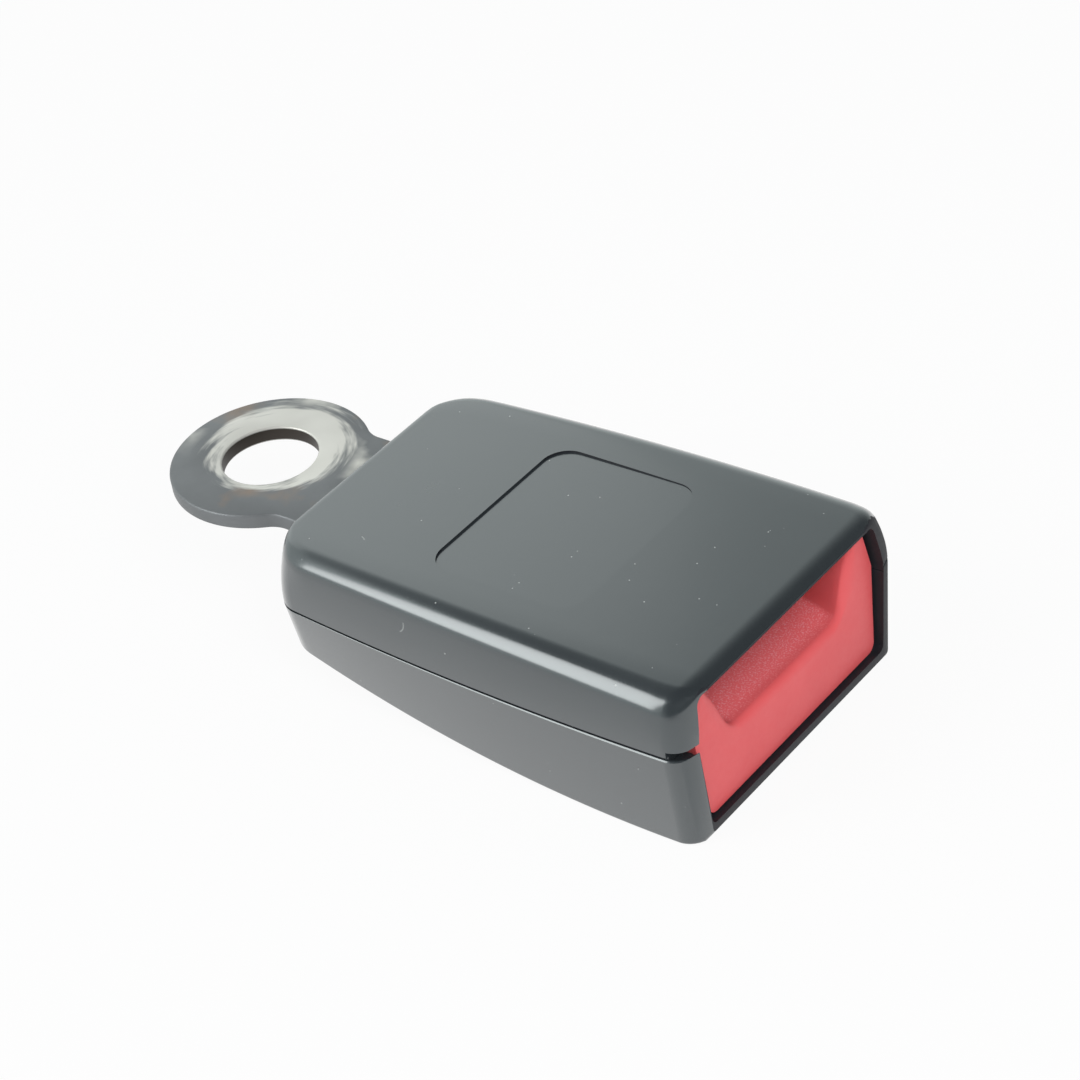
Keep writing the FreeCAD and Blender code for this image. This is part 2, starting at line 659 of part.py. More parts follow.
def add_arms(body):
    """Two arms outside the frame. Their ramps press the latch's ears down."""
    run = "(Sizes.button_travel + Sizes.free_gap)"
    drop = "(Sizes.ear_front - Sizes.pivot_position) * sin(Sizes.latch_angle * 1deg)"
    top = "-Sizes.arm_top_depth"
    low = "(" + RAMP_TOP + " - " + drop + " - Sizes.free_gap)"
    start = "(Sizes.ear_front + Sizes.slide_gap)"
    end = "(" + start + " + " + run + ")"
    inside = "(" + BUTTON_REAR + " + Sizes.button_wall)"
    side = [("Sizes.arm_rear", RAMP_TOP), (start, RAMP_TOP), (end, low), (inside, low), (inside, top),
            ("Sizes.arm_rear", top)]
    pad(body, polygon(body, "XZ_Plane", side), "2 * " + ARM_OUTER, middle=True)
    lug_end = "(Sizes.stop_lug_rear + Sizes.stop_lug_length)"
    lug_top = "(-Sizes.arm_top_depth + Sizes.stop_lug_rise)"
    lug = rectangle("Sizes.stop_lug_rear", "-Sizes.arm_top_depth - Sizes.cut_over", lug_end, lug_top)
    pad(body, polygon(body, "XZ_Plane", lug), "2 * " + ARM_OUTER, middle=True)
    between = rectangle("(Sizes.arm_rear - Sizes.cut_over)", "-" + ARM_INNER, BUTTON_REAR, ARM_INNER)
    pocket(body, polygon(body, "XY_Plane", between))
    bores = [("-" + SPRING_ROW, "-Sizes.spring_depth"), (SPRING_ROW, "-Sizes.spring_depth")]
    bore = "(Sizes.guide_radius + Sizes.free_gap)"
    depth = "(Sizes.guide_tip - Sizes.arm_rear + Sizes.button_travel + 2 * Sizes.free_gap)"
    pocket(body, circles(body, "YZ_Plane", bores, bore, "Sizes.arm_rear"), depth, backwards=True)


def make_tongue_guide():
    """Moulded wedge on the web's front edge that leads the tongue into the channel."""
    body = new_body("tongue_guide")
    on_web = "(" + WEB_TOP + " + Sizes.seat_gap)"
    over = "(" + CEILING + " - Sizes.seat_gap * 2)"
    past = "(Sizes.frame_front + Sizes.seat_gap)"
    side = [("Sizes.guide_wedge_rear", on_web), (past, on_web), (past, WEB_BOTTOM),
            ("Sizes.guide_wedge_toe", WEB_BOTTOM), ("Sizes.guide_wedge_front", over),
            ("Sizes.guide_wedge_rear", over)]
    pad(body, polygon(body, "XZ_Plane", side), "2 * Sizes.guide_wedge_half", middle=True)
    rib_gap = "(Sizes.hold_rib_row - Sizes.rib_thickness)"
    hollow = rectangle("(Sizes.guide_wedge_rear - Sizes.cut_over)", "-" + rib_gap,
                       "(Sizes.frame_front - Sizes.rib_thickness)", rib_gap)
    cut = polygon(body, "XY_Plane", hollow, "(" + on_web + " + Sizes.rib_thickness)")
    pocket(body, cut, "Sizes.top_height", backwards=True)
    return body


def make_pad():
    """Felt pad between the plate and the cover that keeps the plate from rattling."""
    box = doc.addObject("Part::Box", "anti_rattle_pad")
    box.Label = "anti_rattle_pad"
    box.setExpression("Length", PAD_FRONT + " - Sizes.pad_rear")
    box.setExpression("Width", "2 * Sizes.pad_half_width")
    box.setExpression("Height", CEILING + " - " + PLATE_TOP + " - 3 * Sizes.seat_gap")
    box.setExpression("Placement.Base.x", "Sizes.pad_rear")
    box.setExpression("Placement.Base.y", "-Sizes.pad_half_width")
    box.setExpression("Placement.Base.z", PLATE_TOP + " + Sizes.seat_gap")
    return box


def coil(label, turns, wire, low_radius, high_radius, length, placement):
    """Compression spring wound of hexagon-section wire in short straight steps."""
    steps = 8
    count = turns * steps
    points = []
    for index in range(count + 1):
        share = index / count
        angle = 2 * math.pi * index / steps
        radius = low_radius + (high_radius - low_radius) * share - wire / 2
        rise = wire / 2 + (length - wire) * share
        points.append(Vector(radius * math.cos(angle), radius * math.sin(angle), rise))
    corners = [Vector(wire / 2 * math.cos(k * math.pi / 3), wire / 2 * math.sin(k * math.pi / 3), 0)
               for k in range(7)]
    section = Part.makePolygon(corners)
    heading = points[1].sub(points[0])
    section.Placement = FreeCAD.Placement(points[0], FreeCAD.Rotation(ALONG_Z, heading))
    feature = doc.addObject("Part::Feature", label)
    feature.Label = label
    mitred = 1
    feature.Shape = Part.makePolygon(points).makePipeShell([section], True, False, mitred)
    feature.Placement = placement
    return feature


def make_springs():
    """The four return springs, each between the faces that it pushes apart."""
    wire = size("spring_wire")
    gap = size("seat_gap")
    forward = FreeCAD.Rotation(ALONG_Y, 90)
    springs = []
    start = size("seat_front") + size("guide_collar") + gap
    for label, side in (("button_spring_near", -1), ("button_spring_far", 1)):
        radius = size("button_spring_radius")
        length = size("arm_rear") - gap - start
        place = FreeCAD.Placement(Vector(start, side * value(SPRING_ROW), -size("spring_depth")), forward)
        springs.append(coil(label, 7, wire, radius, radius, length, place))
    start = value(SEAT_END) + gap
    length = value(EJECTOR_REAR) - gap - start
    radius = size("ejector_spring_radius")
    place = FreeCAD.Placement(Vector(start, 0, value(spring_line())), forward)
    springs.append(coil("ejector_spring", 8, wire * 0.8, radius, radius, length, place))
    x = size("latch_spring_position")
    floor = floor_height(x) + gap
    length = value(LATCH_BOTTOM) - gap - floor
    place = FreeCAD.Placement(Vector(x, 0, floor), FreeCAD.Rotation())
    wide = size("latch_spring_radius")
    narrow = size("latch_spring_top_radius")
    springs.append(coil("latch_spring", 3, wire, wide, narrow, length, place))
    return springs


def half_widths(height):
    """Outer half-width of the housing at its rear and front ends at a height."""
    parting = -size("parting_depth")
    if height >= parting:
        share = (height - parting) / (size("top_height") - parting)
        rear_draw = size("top_draw_rear") * share
        front_draw = size("top_draw_front") * share
    else:
        drop = parting - height
        rear_draw = size("bottom_draw_rear") * drop / (size("belly_rear") + parting)
        front_draw = size("bottom_draw_front") * drop / (size("belly_front") + parting)
    return value(REAR_HALF) - rear_draw, value(FRONT_HALF) - front_draw


def rear_face(height):
    """Place of the housing's rear face, which leans in above and below the joint."""
    parting = -size("parting_depth")
    return size("housing_rear") + size("rear_lean") * abs(height - parting) / (size("top_height") - parting)


def front_face(height):
    """Place of the housing's front, which leans back below the joint."""
    parting = -size("parting_depth")
    drop = max(parting - height, 0)
    return size("housing_front") - size("front_lean") * drop / (size("belly_front") + parting)


def half_width_at(x, height):
    """Outer half-width of the bowed side at a place along the housing and a height."""
    rear_half, front_half = half_widths(height)
    share = (x - rear_face(height)) / (size("housing_front") - rear_face(height))
    return rear_half + (front_half - rear_half) * share + 4 * size("side_bow") * share * (1 - share)


def plan_wire(height, side_inset, rear_inset):
    """Outline of the housing at a height: bowed sides between straight ends."""
    rear_half, front_half = half_widths(height)
    rear_half -= side_inset
    front_half -= side_inset
    rear = rear_face(height) + rear_inset
    front = size("housing_front")
    middle = (rear + front) / 2
    bulge = (rear_half + front_half) / 2 + size("side_bow")
    far = Part.Arc(Vector(rear, rear_half, height), Vector(middle, bulge, height),
                   Vector(front, front_half, height)).toShape()
    close = Part.Arc(Vector(front, -front_half, height), Vector(middle, -bulge, height),
                     Vector(rear, -rear_half, height)).toShape()
    mouth = Part.makeLine(Vector(front, front_half, height), Vector(front, -front_half, height))
    back = Part.makeLine(Vector(rear, -rear_half, height), Vector(rear, rear_half, height))
    return Part.Wire([far, mouth, close, back])


def drafted(low, high, side_inset=0.0, rear_inset=0.0):
    """Solid between two outlines of the housing, so that its sides have draft."""
    wires = [plan_wire(height, side_inset, rear_inset) for height in (low, high)]
    return Part.makeLoft(wires, True, True)


def outer_section(x, height, radius):
    """Section of a cover: flat at the joint, rounded where its sides meet its face."""
    parting = -size("parting_depth")
    foot = Vector(x, half_width_at(x, parting), parting)
    corner = Vector(x, half_width_at(x, height), height)
    along_side = foot.sub(corner).normalize()
    along_face = Vector(0, -1, 0)
    half_angle = along_side.getAngle(along_face) / 2
    reach = radius / math.tan(half_angle)
    towards_middle = along_side.add(along_face).normalize()
    between = corner + towards_middle * (radius / math.sin(half_angle) - radius)
    far = [foot, corner + along_side * reach, between, corner + along_face * reach]
    close = [Vector(x, -point.y, point.z) for point in far]
    return Part.Wire([Part.makeLine(close[0], far[0]), Part.makeLine(far[0], far[1]),
                      Part.Arc(far[1], far[2], far[3]).toShape(), Part.makeLine(far[3], close[3]),
                      Part.Arc(close[3], close[2], close[1]).toShape(), Part.makeLine(close[1], close[0])])


def lofted_form(curve, radius):
    """Outside of a cover, lofted through sections that follow the curve of its face."""
    first = size("housing_rear") + size("rear_corner_radius")
    last = size("housing_front") - size("front_corner_radius")
    spans = round(size("outer_spans"))
    places = [first + (last - first) * index / spans for index in range(spans + 1)]
    places = [size("housing_rear")] + places + [size("housing_front")]
    sections = [outer_section(x, height_on(curve, x), radius) for x in places]
    return Part.makeLoft(sections, True, True)


def height_on(curve, x):
    """Height of a curve in the middle plane at a place along the housing."""
    reach = 2 * size("belly_front")
    line = Part.makeLine(Vector(x, 0, -reach), Vector(x, 0, reach))
    return curve.toShape().distToShape(line)[1][0][0].z


def end_trim(places, outwards):
    """What lies outside a leaning end, from a list of places and heights on the end."""
    points = [Vector(place, 0, height) for place, height in places]
    points += [Vector(place + outwards, 0, height) for place, height in reversed(places)]
    points.append(points[0])
    return side_slab(Part.makePolygon(points).Edges)


def side_slab(edges):
    """Solid as wide as the housing and more, from a closed outline seen from the side."""
    reach = 2 * value(FRONT_HALF)
    face = Part.Face(Part.Wire(edges))
    face.translate(Vector(0, -reach / 2, 0))
    return face.extrude(Vector(0, reach, 0))


def top_arc(inset):
    """The crowned top as seen from the side, moved inwards by a wall."""
    rear = size("housing_rear")
    front = size("housing_front")
    height = size("top_height") - inset
    middle = Vector((rear + front) / 2, 0, height + size("top_crown"))
    return Part.Arc(Vector(rear, 0, height), middle, Vector(front, 0, height))


def belly_arc(inset):
    """The belly as seen from the side: shallow at the rear, deep towards the mouth."""
    rear = size("housing_rear")
    front = size("housing_front")
    middle = Vector((rear + front) / 2, 0, inset - size("belly_middle"))
    return Part.Arc(Vector(rear, 0, inset - size("belly_rear")), middle,
                    Vector(front, 0, inset - size("belly_front")))


def floor_height(x):
    """Height of the lower cover's inner floor at a place along the housing."""
    return height_on(belly_arc(size("wall_bottom")), x)


def under_top(inset, low):
    """Everything below the crowned top."""
    rear = size("housing_rear")
    front = size("housing_front")
    height = size("top_height") - inset
    start = Vector(rear - OVER, 0, height)
    end = Vector(front, 0, height)
    edges = [Part.makeLine(Vector(start.x, 0, low), start), Part.makeLine(start, Vector(rear, 0, height)),
             top_arc(inset).toShape(), Part.makeLine(end, Vector(front, 0, low)),
             Part.makeLine(Vector(front, 0, low), Vector(start.x, 0, low))]
    return side_slab(edges)


def roll_drop(run):
    """How far the rolled front edge has dropped after a run forwards."""
    radius = size("front_roll_radius")
    return radius - math.sqrt(radius ** 2 - run ** 2)


def over_roll():
    """What lies above the rolled front edge of the top."""
    front = size("housing_front")
    run = size("front_roll_length")
    high = height_on(top_arc(0.0), front - run)
    start = Vector(front - run, 0, high)
    halfway = Vector(front - run / 2, 0, high - roll_drop(run / 2))
    end = Vector(front, 0, high - roll_drop(run))
    beyond = Vector(front + OVER, 0, end.z)
    above = Vector(beyond.x, 0, high + OVER)
    edges = [Part.Arc(start, halfway, end).toShape(), Part.makeLine(end, beyond),
             Part.makeLine(beyond, above), Part.makeLine(above, Vector(start.x, 0, above.z)),
             Part.makeLine(Vector(start.x, 0, above.z), start)]
    return side_slab(edges)


def over_belly(inset, high):
    """Everything above the belly's curve up to a height."""
    arc = belly_arc(inset)
    rear = size("housing_rear")
    front = size("housing_front")
    start = Vector(rear, 0, inset - size("belly_rear"))
    end = Vector(front, 0, inset - size("belly_front"))
    outer = Vector(rear - OVER, 0, start.z)
    above = Vector(outer.x, 0, high)
    edges = [Part.makeLine(outer, start), arc.toShape(), Part.makeLine(end, Vector(front, 0, high)),
             Part.makeLine(Vector(front, 0, high), above), Part.makeLine(above, outer)]
    return side_slab(edges)


def corner_plan(height, front, side):
    """Centre of a rounded upright corner at a height, and the outline outside its chord."""
    radius = size("front_corner_radius") if front else size("rear_corner_radius")
    corner_x = front_face(height) if front else rear_face(height)
    inward = -1 if front else 1
    half = half_width_at(corner_x, height)
    angle = math.atan((half_width_at(corner_x + inward * radius, height) - half) / radius)
    centre_y = math.tan(angle) * radius - radius / math.cos(angle)
    touch = (radius - radius * math.sin(angle), centre_y + radius * math.cos(angle))

    def place(x, y):
        return Vector(corner_x + inward * x, side * (half + y), height)

    outline = [place(*touch), place(0, centre_y), place(-radius, centre_y), place(-radius, radius),
               place(touch[0], radius), place(*touch)]
    return place(radius, centre_y), Part.makePolygon(outline)


def round_corners(form, low, high):
    """Takes the four upright corners off a drafted form."""
    for front in (False, True):
        radius = size("front_corner_radius") if front else size("rear_corner_radius")
        for side in (-1, 1):
            base, low_outline = corner_plan(low, front, side)
            top, high_outline = corner_plan(high, front, side)
            axis = top.sub(base)
            column = Part.makeCylinder(radius, axis.Length * 2, base.sub(axis * 0.5), axis)
            form = form.cut(Part.makeLoft([low_outline, high_outline], True, True).cut(column))
    return form


def cavity():
    """Space inside both covers, out through the mouth."""
    parting = -size("parting_depth")
    above = size("top_height") + size("top_crown") + OVER
    below = -size("belly_front") - OVER
    inner_front = size("housing_front") - size("mouth_depth")
    side = size("wall_side")
    rear = size("wall_rear")
    upper = drafted(parting, above, side, rear).common(under_top(size("wall_top"), parting))
    lower = drafted(below, parting, side, rear).common(over_belly(size("wall_bottom"), parting))
    room = upper.fuse(lower)
    behind = Part.makeBox(inner_front, 4 * value(FRONT_HALF), above - below,
                          Vector(0, -2 * value(FRONT_HALF), below))
    return room.common(behind).fuse(mouth_prism())


def mouth_prism():
    """Straight mouth that the button fills, from the inner room out to the front."""
    start = size("housing_front") - size("mouth_depth") - OVER
    reach = size("mouth_depth") + 2 * OVER
    parting = -size("parting_depth")
    low = -size("belly_front") + size("mouth_bottom_wall")
    high = size("top_height") - size("wall_top")
    outline = [(mouth_half(low), low), (mouth_half(parting), parting), (mouth_half(high), high)]
    points = [Vector(start, y, z) for y, z in outline]
    points += [Vector(start, -y, z) for y, z in reversed(outline)]
    points.append(points[0])
    prism = Part.Face(Part.makePolygon(points)).extrude(ALONG_X * reach)
    lip_high = size("top_height") - size("mouth_lip_wall")
    run = size("front_roll_length")
    drop = roll_drop(run)
    flare_start = size("housing_front") - run
    flare_end = size("housing_front") + OVER
    flare = [Vector(flare_start, 0, high), Vector(size("housing_front"), 0, lip_high - drop),
             Vector(flare_end, 0, lip_high - drop), Vector(flare_end, 0, high - OVER),
             Vector(flare_start, 0, high - OVER)]
    flare.append(flare[0])
    width = 2 * mouth_half(high)
    wedge = Part.Face(Part.makePolygon(flare))
    wedge.translate(Vector(0, -width / 2, 0))
    return prism.fuse(wedge.extrude(Vector(0, width, 0)))


def box_between(low, high):
    return Part.makeBox(high[0] - low[0], high[1] - low[1], high[2] - low[2], Vector(*low))


def mirrored_boxes(low, high):
    """The same box on the near and the far side."""
    other_low = (low[0], -high[1], low[2])
    other_high = (high[0], -low[1], high[2])
    return [box_between(low, high), box_between(other_low, other_high)]


def rim_lip(extra):
    """Lip under the upper cover's rim, which stands inside the lower cover's rim."""
    parting = -size("parting_depth")
    low = parting - size("rim_lip_height") - extra
    front = size("housing_front")
    inner = size("wall_side")
    outer = inner - size("rim_lip_thickness") - extra
    rear_outer = size("wall_rear") - size("rim_lip_thickness") - extra
    hollow = drafted(low - OVER, parting + OVER, inner, size("wall_rear"))
    ring = drafted(low, parting, outer, rear_outer).cut(hollow)
    stop = front - size("mouth_depth") - 2 * size("free_gap") + extra
    reach = 2 * value(FRONT_HALF)
    return ring.common(box_between((0, -reach, low - OVER), (stop, reach, parting + OVER)))


def panel_groove():
    """Sunk rounded panel in the top, the same depth all over the crown."""
    length = size("panel_end") - size("panel_start")
    width = 2 * size("panel_half_width")
    height = 2 * size("top_height")
    block = Part.makeBox(length, width, height, Vector(size("panel_start"), -width / 2, 0))
    upright = [edge for edge in block.Edges if along(edge, ALONG_Z)]
    block = block.makeFillet(size("panel_corner_radius"), upright)
    return block.cut(under_top(size("panel_sink"), -height))


def plate_slot(low, high):
    """Passage for the anchor plate through the rear wall."""
    half = size("neck_half_width") + size("free_gap")
    rear = size("housing_rear") - OVER
    front = rear_face(size("top_height")) + size("wall_rear") + OVER / 2
    return box_between((rear, -half, low), (front, half, high))


def make_upper_cover():
    """Moulded upper cover: crowned top with a sunk panel, ribs and stops inside."""
    parting = -size("parting_depth")
    above = size("top_height") + size("top_crown") + OVER
    form = lofted_form(top_arc(0.0), size("top_edge_radius")).cut(over_roll())
    rear_end = [(rear_face(parting), parting), (rear_face(above), above)]
    form = round_corners(form.cut(end_trim(rear_end, -OVER)), parting, above)
    middle = size("top_height") - size("wall_top") / 2
    row = size("hold_rib_row")
    thick = size("rib_thickness")
    web_top = value(WEB_TOP) + size("seat_gap")
    lug_end = size("stop_lug_rear") + size("stop_lug_length") + size("free_gap")
    arm_top = -size("arm_top_depth") + size("free_gap")
    inner = value(ARM_INNER)
    ribs = mirrored_boxes((size("hold_rib_rear"), row - thick / 2, web_top),
                          (size("guide_wedge_rear") - size("free_gap"), row + thick / 2, middle))
    ribs += mirrored_boxes((lug_end, inner, arm_top), (lug_end + thick, value(ARM_OUTER), middle))
    cover = form.cut(cavity()).cut(panel_groove())
    cover = cover.cut(plate_slot(parting - OVER, value(PLATE_TOP) + size("free_gap")))
    lip = rim_lip(0.0).cut(plate_slot(parting - 2 * size("rim_lip_height"), parting + OVER))
    cover = cover.fuse([lip] + ribs).removeSplitter()
    return finished("upper_cover", cover)


def make_lower_cover():
    """Moulded lower cover: belly, saddle ribs, spring seats and the plate's tab."""
    parting = -size("parting_depth")
    below = -size("belly_front") - OVER
    form = lofted_form(belly_arc(0.0), size("bottom_edge_radius"))
    rear_end = [(rear_face(parting), parting), (rear_face(below), below)]
    front_end = [(front_face(parting), parting), (front_face(below), below)]
    form = form.cut(end_trim(rear_end, -OVER)).cut(end_trim(front_end, OVER))
    form = round_corners(form, below, parting)
    thick = size("rib_thickness")
    buried = size("wall_bottom") / 2
    seat_top = -size("spring_depth") + size("button_spring_radius")
    inner = value(SPRING_ROW) - size("button_spring_radius")
    outer = value(SPRING_ROW) + size("guide_radius")
    seat_low = floor_height(size("seat_rear")) - buried
    parts = mirrored_boxes((size("seat_rear"), inner, seat_low), (size("seat_front"), outer, seat_top))
    saddle_rear = value(FRAME_REAR) + size("flange_corner_radius")
    saddle_low = floor_height(size("flange_step")) - buried
    saddle_high = -size("flange_depth") - size("seat_gap")
    row = size("frame_half_width") - size("frame_thickness") / 2
    saddles = mirrored_boxes((saddle_rear, row - thick / 2, saddle_low),
                             (size("flange_step"), row + thick / 2, saddle_high))
    parts += [saddle.common(over_belly(buried, 0)) for saddle in saddles]
    tab_half = size("neck_half_width") - size("seat_gap")
    tab_top = value(WEB_TOP) - size("free_gap")
    tab_hollow = drafted(parting - OVER, tab_top + 2 * OVER, size("wall_side"), size("wall_rear"))
    tab = drafted(parting, tab_top + OVER).cut(tab_hollow)
    tab = tab.common(box_between((0, -tab_half, parting - OVER), (value(FRAME_REAR), tab_half, tab_top)))
    reach = 2 * value(FRONT_HALF)
    rim_cut = box_between((0, -reach, parting - size("joint_gap")), (2 * reach, reach, parting + OVER))
    cover = form.cut(cavity()).cut(rim_lip(size("seat_gap"))).cut(rim_cut)
    root_low = parting - size("rim_lip_height") - 2 * size("seat_gap")
    root = box_between((size("housing_rear"), -tab_half, root_low),
                       (size("housing_rear") + size("wall_rear"), tab_half, parting))
    root = root.common(drafted(root_low - OVER, parting, 0.0, size("seat_gap")))
    cover = cover.fuse(parts + [tab, root]).removeSplitter()
    stub_length = (size("seat_front") - size("seat_rear")) / 2 + size("free_gap")
    for side in (-1, 1):
        start = Vector(size("seat_front") - stub_length, side * value(SPRING_ROW), -size("spring_depth"))
        radius = size("guide_radius") + size("running_gap")
        cover = cover.cut(Part.makeCylinder(radius, stub_length + OVER, start, ALONG_X))
    return finished("lower_cover", cover)


def finished(label, shape):
    """A document object for a form that is drafted in two directions at once."""
    if len(shape.Solids) != 1:
        raise RuntimeError("%s has %d solids" % (label, len(shape.Solids)))
    feature = doc.addObject("Part::Feature", label)
    feature.Label = label
    feature.Shape = shape.Solids[0]
    feature.Placement = FreeCAD.Placement()
    return feature


def make_parts():
    parts = [make_upper_cover(), make_lower_cover(), make_anchor_plate(), make_frame()]
    parts.append(make_rivet("anchor_rivet_near", "-"))
    parts.append(make_rivet("anchor_rivet_far", "+"))
    parts.append(make_latch_pin())
    parts.append(make_clip("latch_pin_clip_near", "-"))
    parts.append(make_clip("latch_pin_clip_far", "+"))
    parts += [make_latch(), make_ejector(), make_ejector_seat(), make_button()]
    parts.append(make_spring_guide("spring_guide_near", "-"))
    parts.append(make_spring_guide("spring_guide_far", "+"))
    parts += [make_tongue_guide(), make_pad()]
    parts += make_springs()
    return parts


parts = make_parts()
doc.recompute()
for item in doc.Objects:
    if "Invalid" in item.State or "Error" in item.State:
        raise RuntimeError("%s did not build" % item.Label)
for part in parts:
    shape = part.Shape
    if shape.isNull() or not shape.isValid() or not shape.Solids:
        raise RuntimeError("%s has no valid shape" % part.Label)

os.makedirs("parts", exist_ok=True)
for part in parts:
    part.Shape.exportStep("parts/%s.step" % part.Label)
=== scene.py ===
import math

import bmesh
import bpy
from mathutils import Matrix, Vector


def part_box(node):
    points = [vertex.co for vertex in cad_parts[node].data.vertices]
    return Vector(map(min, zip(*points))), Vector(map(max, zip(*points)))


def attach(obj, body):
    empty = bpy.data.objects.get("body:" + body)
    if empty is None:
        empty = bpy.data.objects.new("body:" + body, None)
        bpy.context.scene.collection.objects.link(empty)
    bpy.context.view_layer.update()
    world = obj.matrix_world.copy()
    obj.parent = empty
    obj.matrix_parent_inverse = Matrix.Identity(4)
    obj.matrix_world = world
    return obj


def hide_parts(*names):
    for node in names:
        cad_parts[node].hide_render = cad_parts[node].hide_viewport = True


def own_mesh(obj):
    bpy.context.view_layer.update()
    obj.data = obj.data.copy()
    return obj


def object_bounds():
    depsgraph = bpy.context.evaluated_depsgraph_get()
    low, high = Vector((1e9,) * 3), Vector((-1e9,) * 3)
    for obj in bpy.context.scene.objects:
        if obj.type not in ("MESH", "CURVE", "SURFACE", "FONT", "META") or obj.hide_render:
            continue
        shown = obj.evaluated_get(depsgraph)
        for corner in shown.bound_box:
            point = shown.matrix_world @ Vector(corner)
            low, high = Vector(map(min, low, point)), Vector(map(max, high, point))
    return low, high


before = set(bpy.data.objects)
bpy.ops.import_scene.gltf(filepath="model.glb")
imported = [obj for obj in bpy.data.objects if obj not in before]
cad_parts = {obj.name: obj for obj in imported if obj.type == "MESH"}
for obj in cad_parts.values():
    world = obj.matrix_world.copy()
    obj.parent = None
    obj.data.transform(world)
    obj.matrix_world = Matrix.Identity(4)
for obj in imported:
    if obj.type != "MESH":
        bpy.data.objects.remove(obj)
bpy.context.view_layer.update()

scene = bpy.context.scene

# Anchor plate: a stamped steel eye with a necked shank, dipped in a dark zinc
# coating. A bolt head and its washer have worn a bright ring round the hole, and
# rust has started where the coating is broken. It is riveted to the frame inside.

MM = 0.001
HOLE_RADIUS = 6.0 * MM
EYE_RADIUS = 12.5 * MM
NECK_HALF = 9.2 * MM
NECK_FILLET = 3.8 * MM
SHOULDER_START = 18.6 * MM
SHOULDER_HALF = 12.2 * MM
PLATE_EDGE = 0.28 * MM
COATED_STEEL = "#7b7e80"
DULLED_STEEL = "#6c6f70"
BARE_STEEL = "#dddcd6"
SCUFFED_STEEL = "#cdccc4"
RUST = "#93806f"
BORE_WALL_DARK = "#38332e"
WASHER_CENTRE = (-0.1 * MM, 2.0 * MM, 0.0)
WASHER_RADIUS = 8.8 * MM
WEAR_FADE = 1.0 * MM
WEAR_WANDER = 6.4 * MM
SCRATCH_TURN = 0.7 / MM
BORE_REACH = HOLE_RADIUS + 0.2 * MM
FACE_LEVEL = (0.72 * MM, 0.9 * MM)
CHAFED_RIM = (EYE_RADIUS - 2.2 * MM, EYE_RADIUS - 0.8 * MM)
CHAFED_SIDE = (-5.0 * MM, 1.0 * MM)


def srgb(code):
    """A written colour as the linear values that a shader takes."""
    parts = [int(code[place:place + 2], 16) / 255 for place in (1, 3, 5)]
    return (*[part / 12.92 if part <= 0.04045 else ((part + 0.055) / 1.055) ** 2.4 for part in parts], 1.0)


def add_node(tree, kind, inputs=None, **settings):
    """Adds a node with its settings. An input takes a value or another node's output."""
    made = tree.nodes.new(kind)
    for name, setting in settings.items():
        setattr(made, name, setting)
    for name, given in (inputs or {}).items():
        if isinstance(given, bpy.types.NodeSocket):
            tree.links.new(given, made.inputs[name])
        else:
            made.inputs[name].default_value = given
    return made


def new_material(name):
    """An empty material with a principled shader on its output."""
    material = bpy.data.materials.new(name)
    material.use_nodes = True
    tree = material.node_tree
    tree.nodes.clear()
    shader = add_node(tree, "ShaderNodeBsdfPrincipled")
    add_node(tree, "ShaderNodeOutputMaterial", {"Surface": shader.outputs["BSDF"]})
    return material, tree, shader


def skin(name, rings):
    """A closed mesh through rings of points in step, with a flat face on each end."""
    count = len(rings[0])
    points = [tuple(point) for ring in rings for point in ring]
    faces = []
    for level in range(len(rings) - 1):
        for index in range(count):
            following = (index + 1) % count
            faces.append((level * count + index, level * count + following,
                          (level + 1) * count + following, (level + 1) * count + index))
    faces.append(tuple(range(count - 1, -1, -1)))
    faces.append(tuple(range((len(rings) - 1) * count, len(rings) * count)))
    mesh = bpy.data.meshes.new(name)
    mesh.from_pydata(points, [], faces)
    mesh.validate()
    piece = bpy.data.objects.new(name, mesh)
    scene.collection.objects.link(piece)
    return piece


def settle(piece):
    """Turns a piece's modifiers into its mesh."""
    bpy.context.view_layer.update()
    ready = piece.evaluated_get(bpy.context.evaluated_depsgraph_get())
    mesh = bpy.data.meshes.new_from_object(ready)
    piece.modifiers.clear()
    piece.data = mesh
    return piece


def carve(piece, *cutters, operation="DIFFERENCE"):
    """Takes closed forms out of a piece, or joins them to it, and discards them."""
    for cutter in cutters:
        change = piece.modifiers.new("carve", "BOOLEAN")
        change.operation = operation
        change.solver = "EXACT"
        change.object = cutter
    settle(piece)
    for cutter in cutters:
        bpy.data.objects.remove(cutter)
    return piece


def outward(piece):
    """Faces all turned outwards on a closed form."""
    shape = bmesh.new()
    shape.from_mesh(piece.data)
    bmesh.ops.recalc_face_normals(shape, faces=shape.faces)
    shape.to_mesh(piece.data)
    shape.free()
    return piece


def arc(centre, radius, start, end, steps):
    """Points on an arc between two angles in degrees."""
    points = []
    for step in range(steps + 1):
        angle = math.radians(start + (end - start) * step / steps)
        points.append((centre[0] + radius * math.cos(angle), centre[1] + radius * math.sin(angle)))
    return points


def finish_piece(piece, material, body, slot, *nodes, smooth=35, inner=None, is_inner=None):
    """Dresses a finished mesh, ties it to its body and lets it stand for its nodes."""
    piece.data.materials.clear()
    piece.data.materials.append(material)
    if inner:
        piece.data.materials.append(inner)
    for face in piece.data.polygons:
        face.material_index = 1 if inner and is_inner(face.center, face.normal) else 0
        face.use_smooth = True
    piece.data.set_sharp_from_angle(angle=math.radians(smooth))
    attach(piece, body)
    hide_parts(*nodes)
    return piece


def prism(name, outline, low, high):
    """An upright solid with a flat outline, from one height to another."""
    return outward(skin(name, [[(x, y, height) for x, y in outline] for height in (low, high)]))


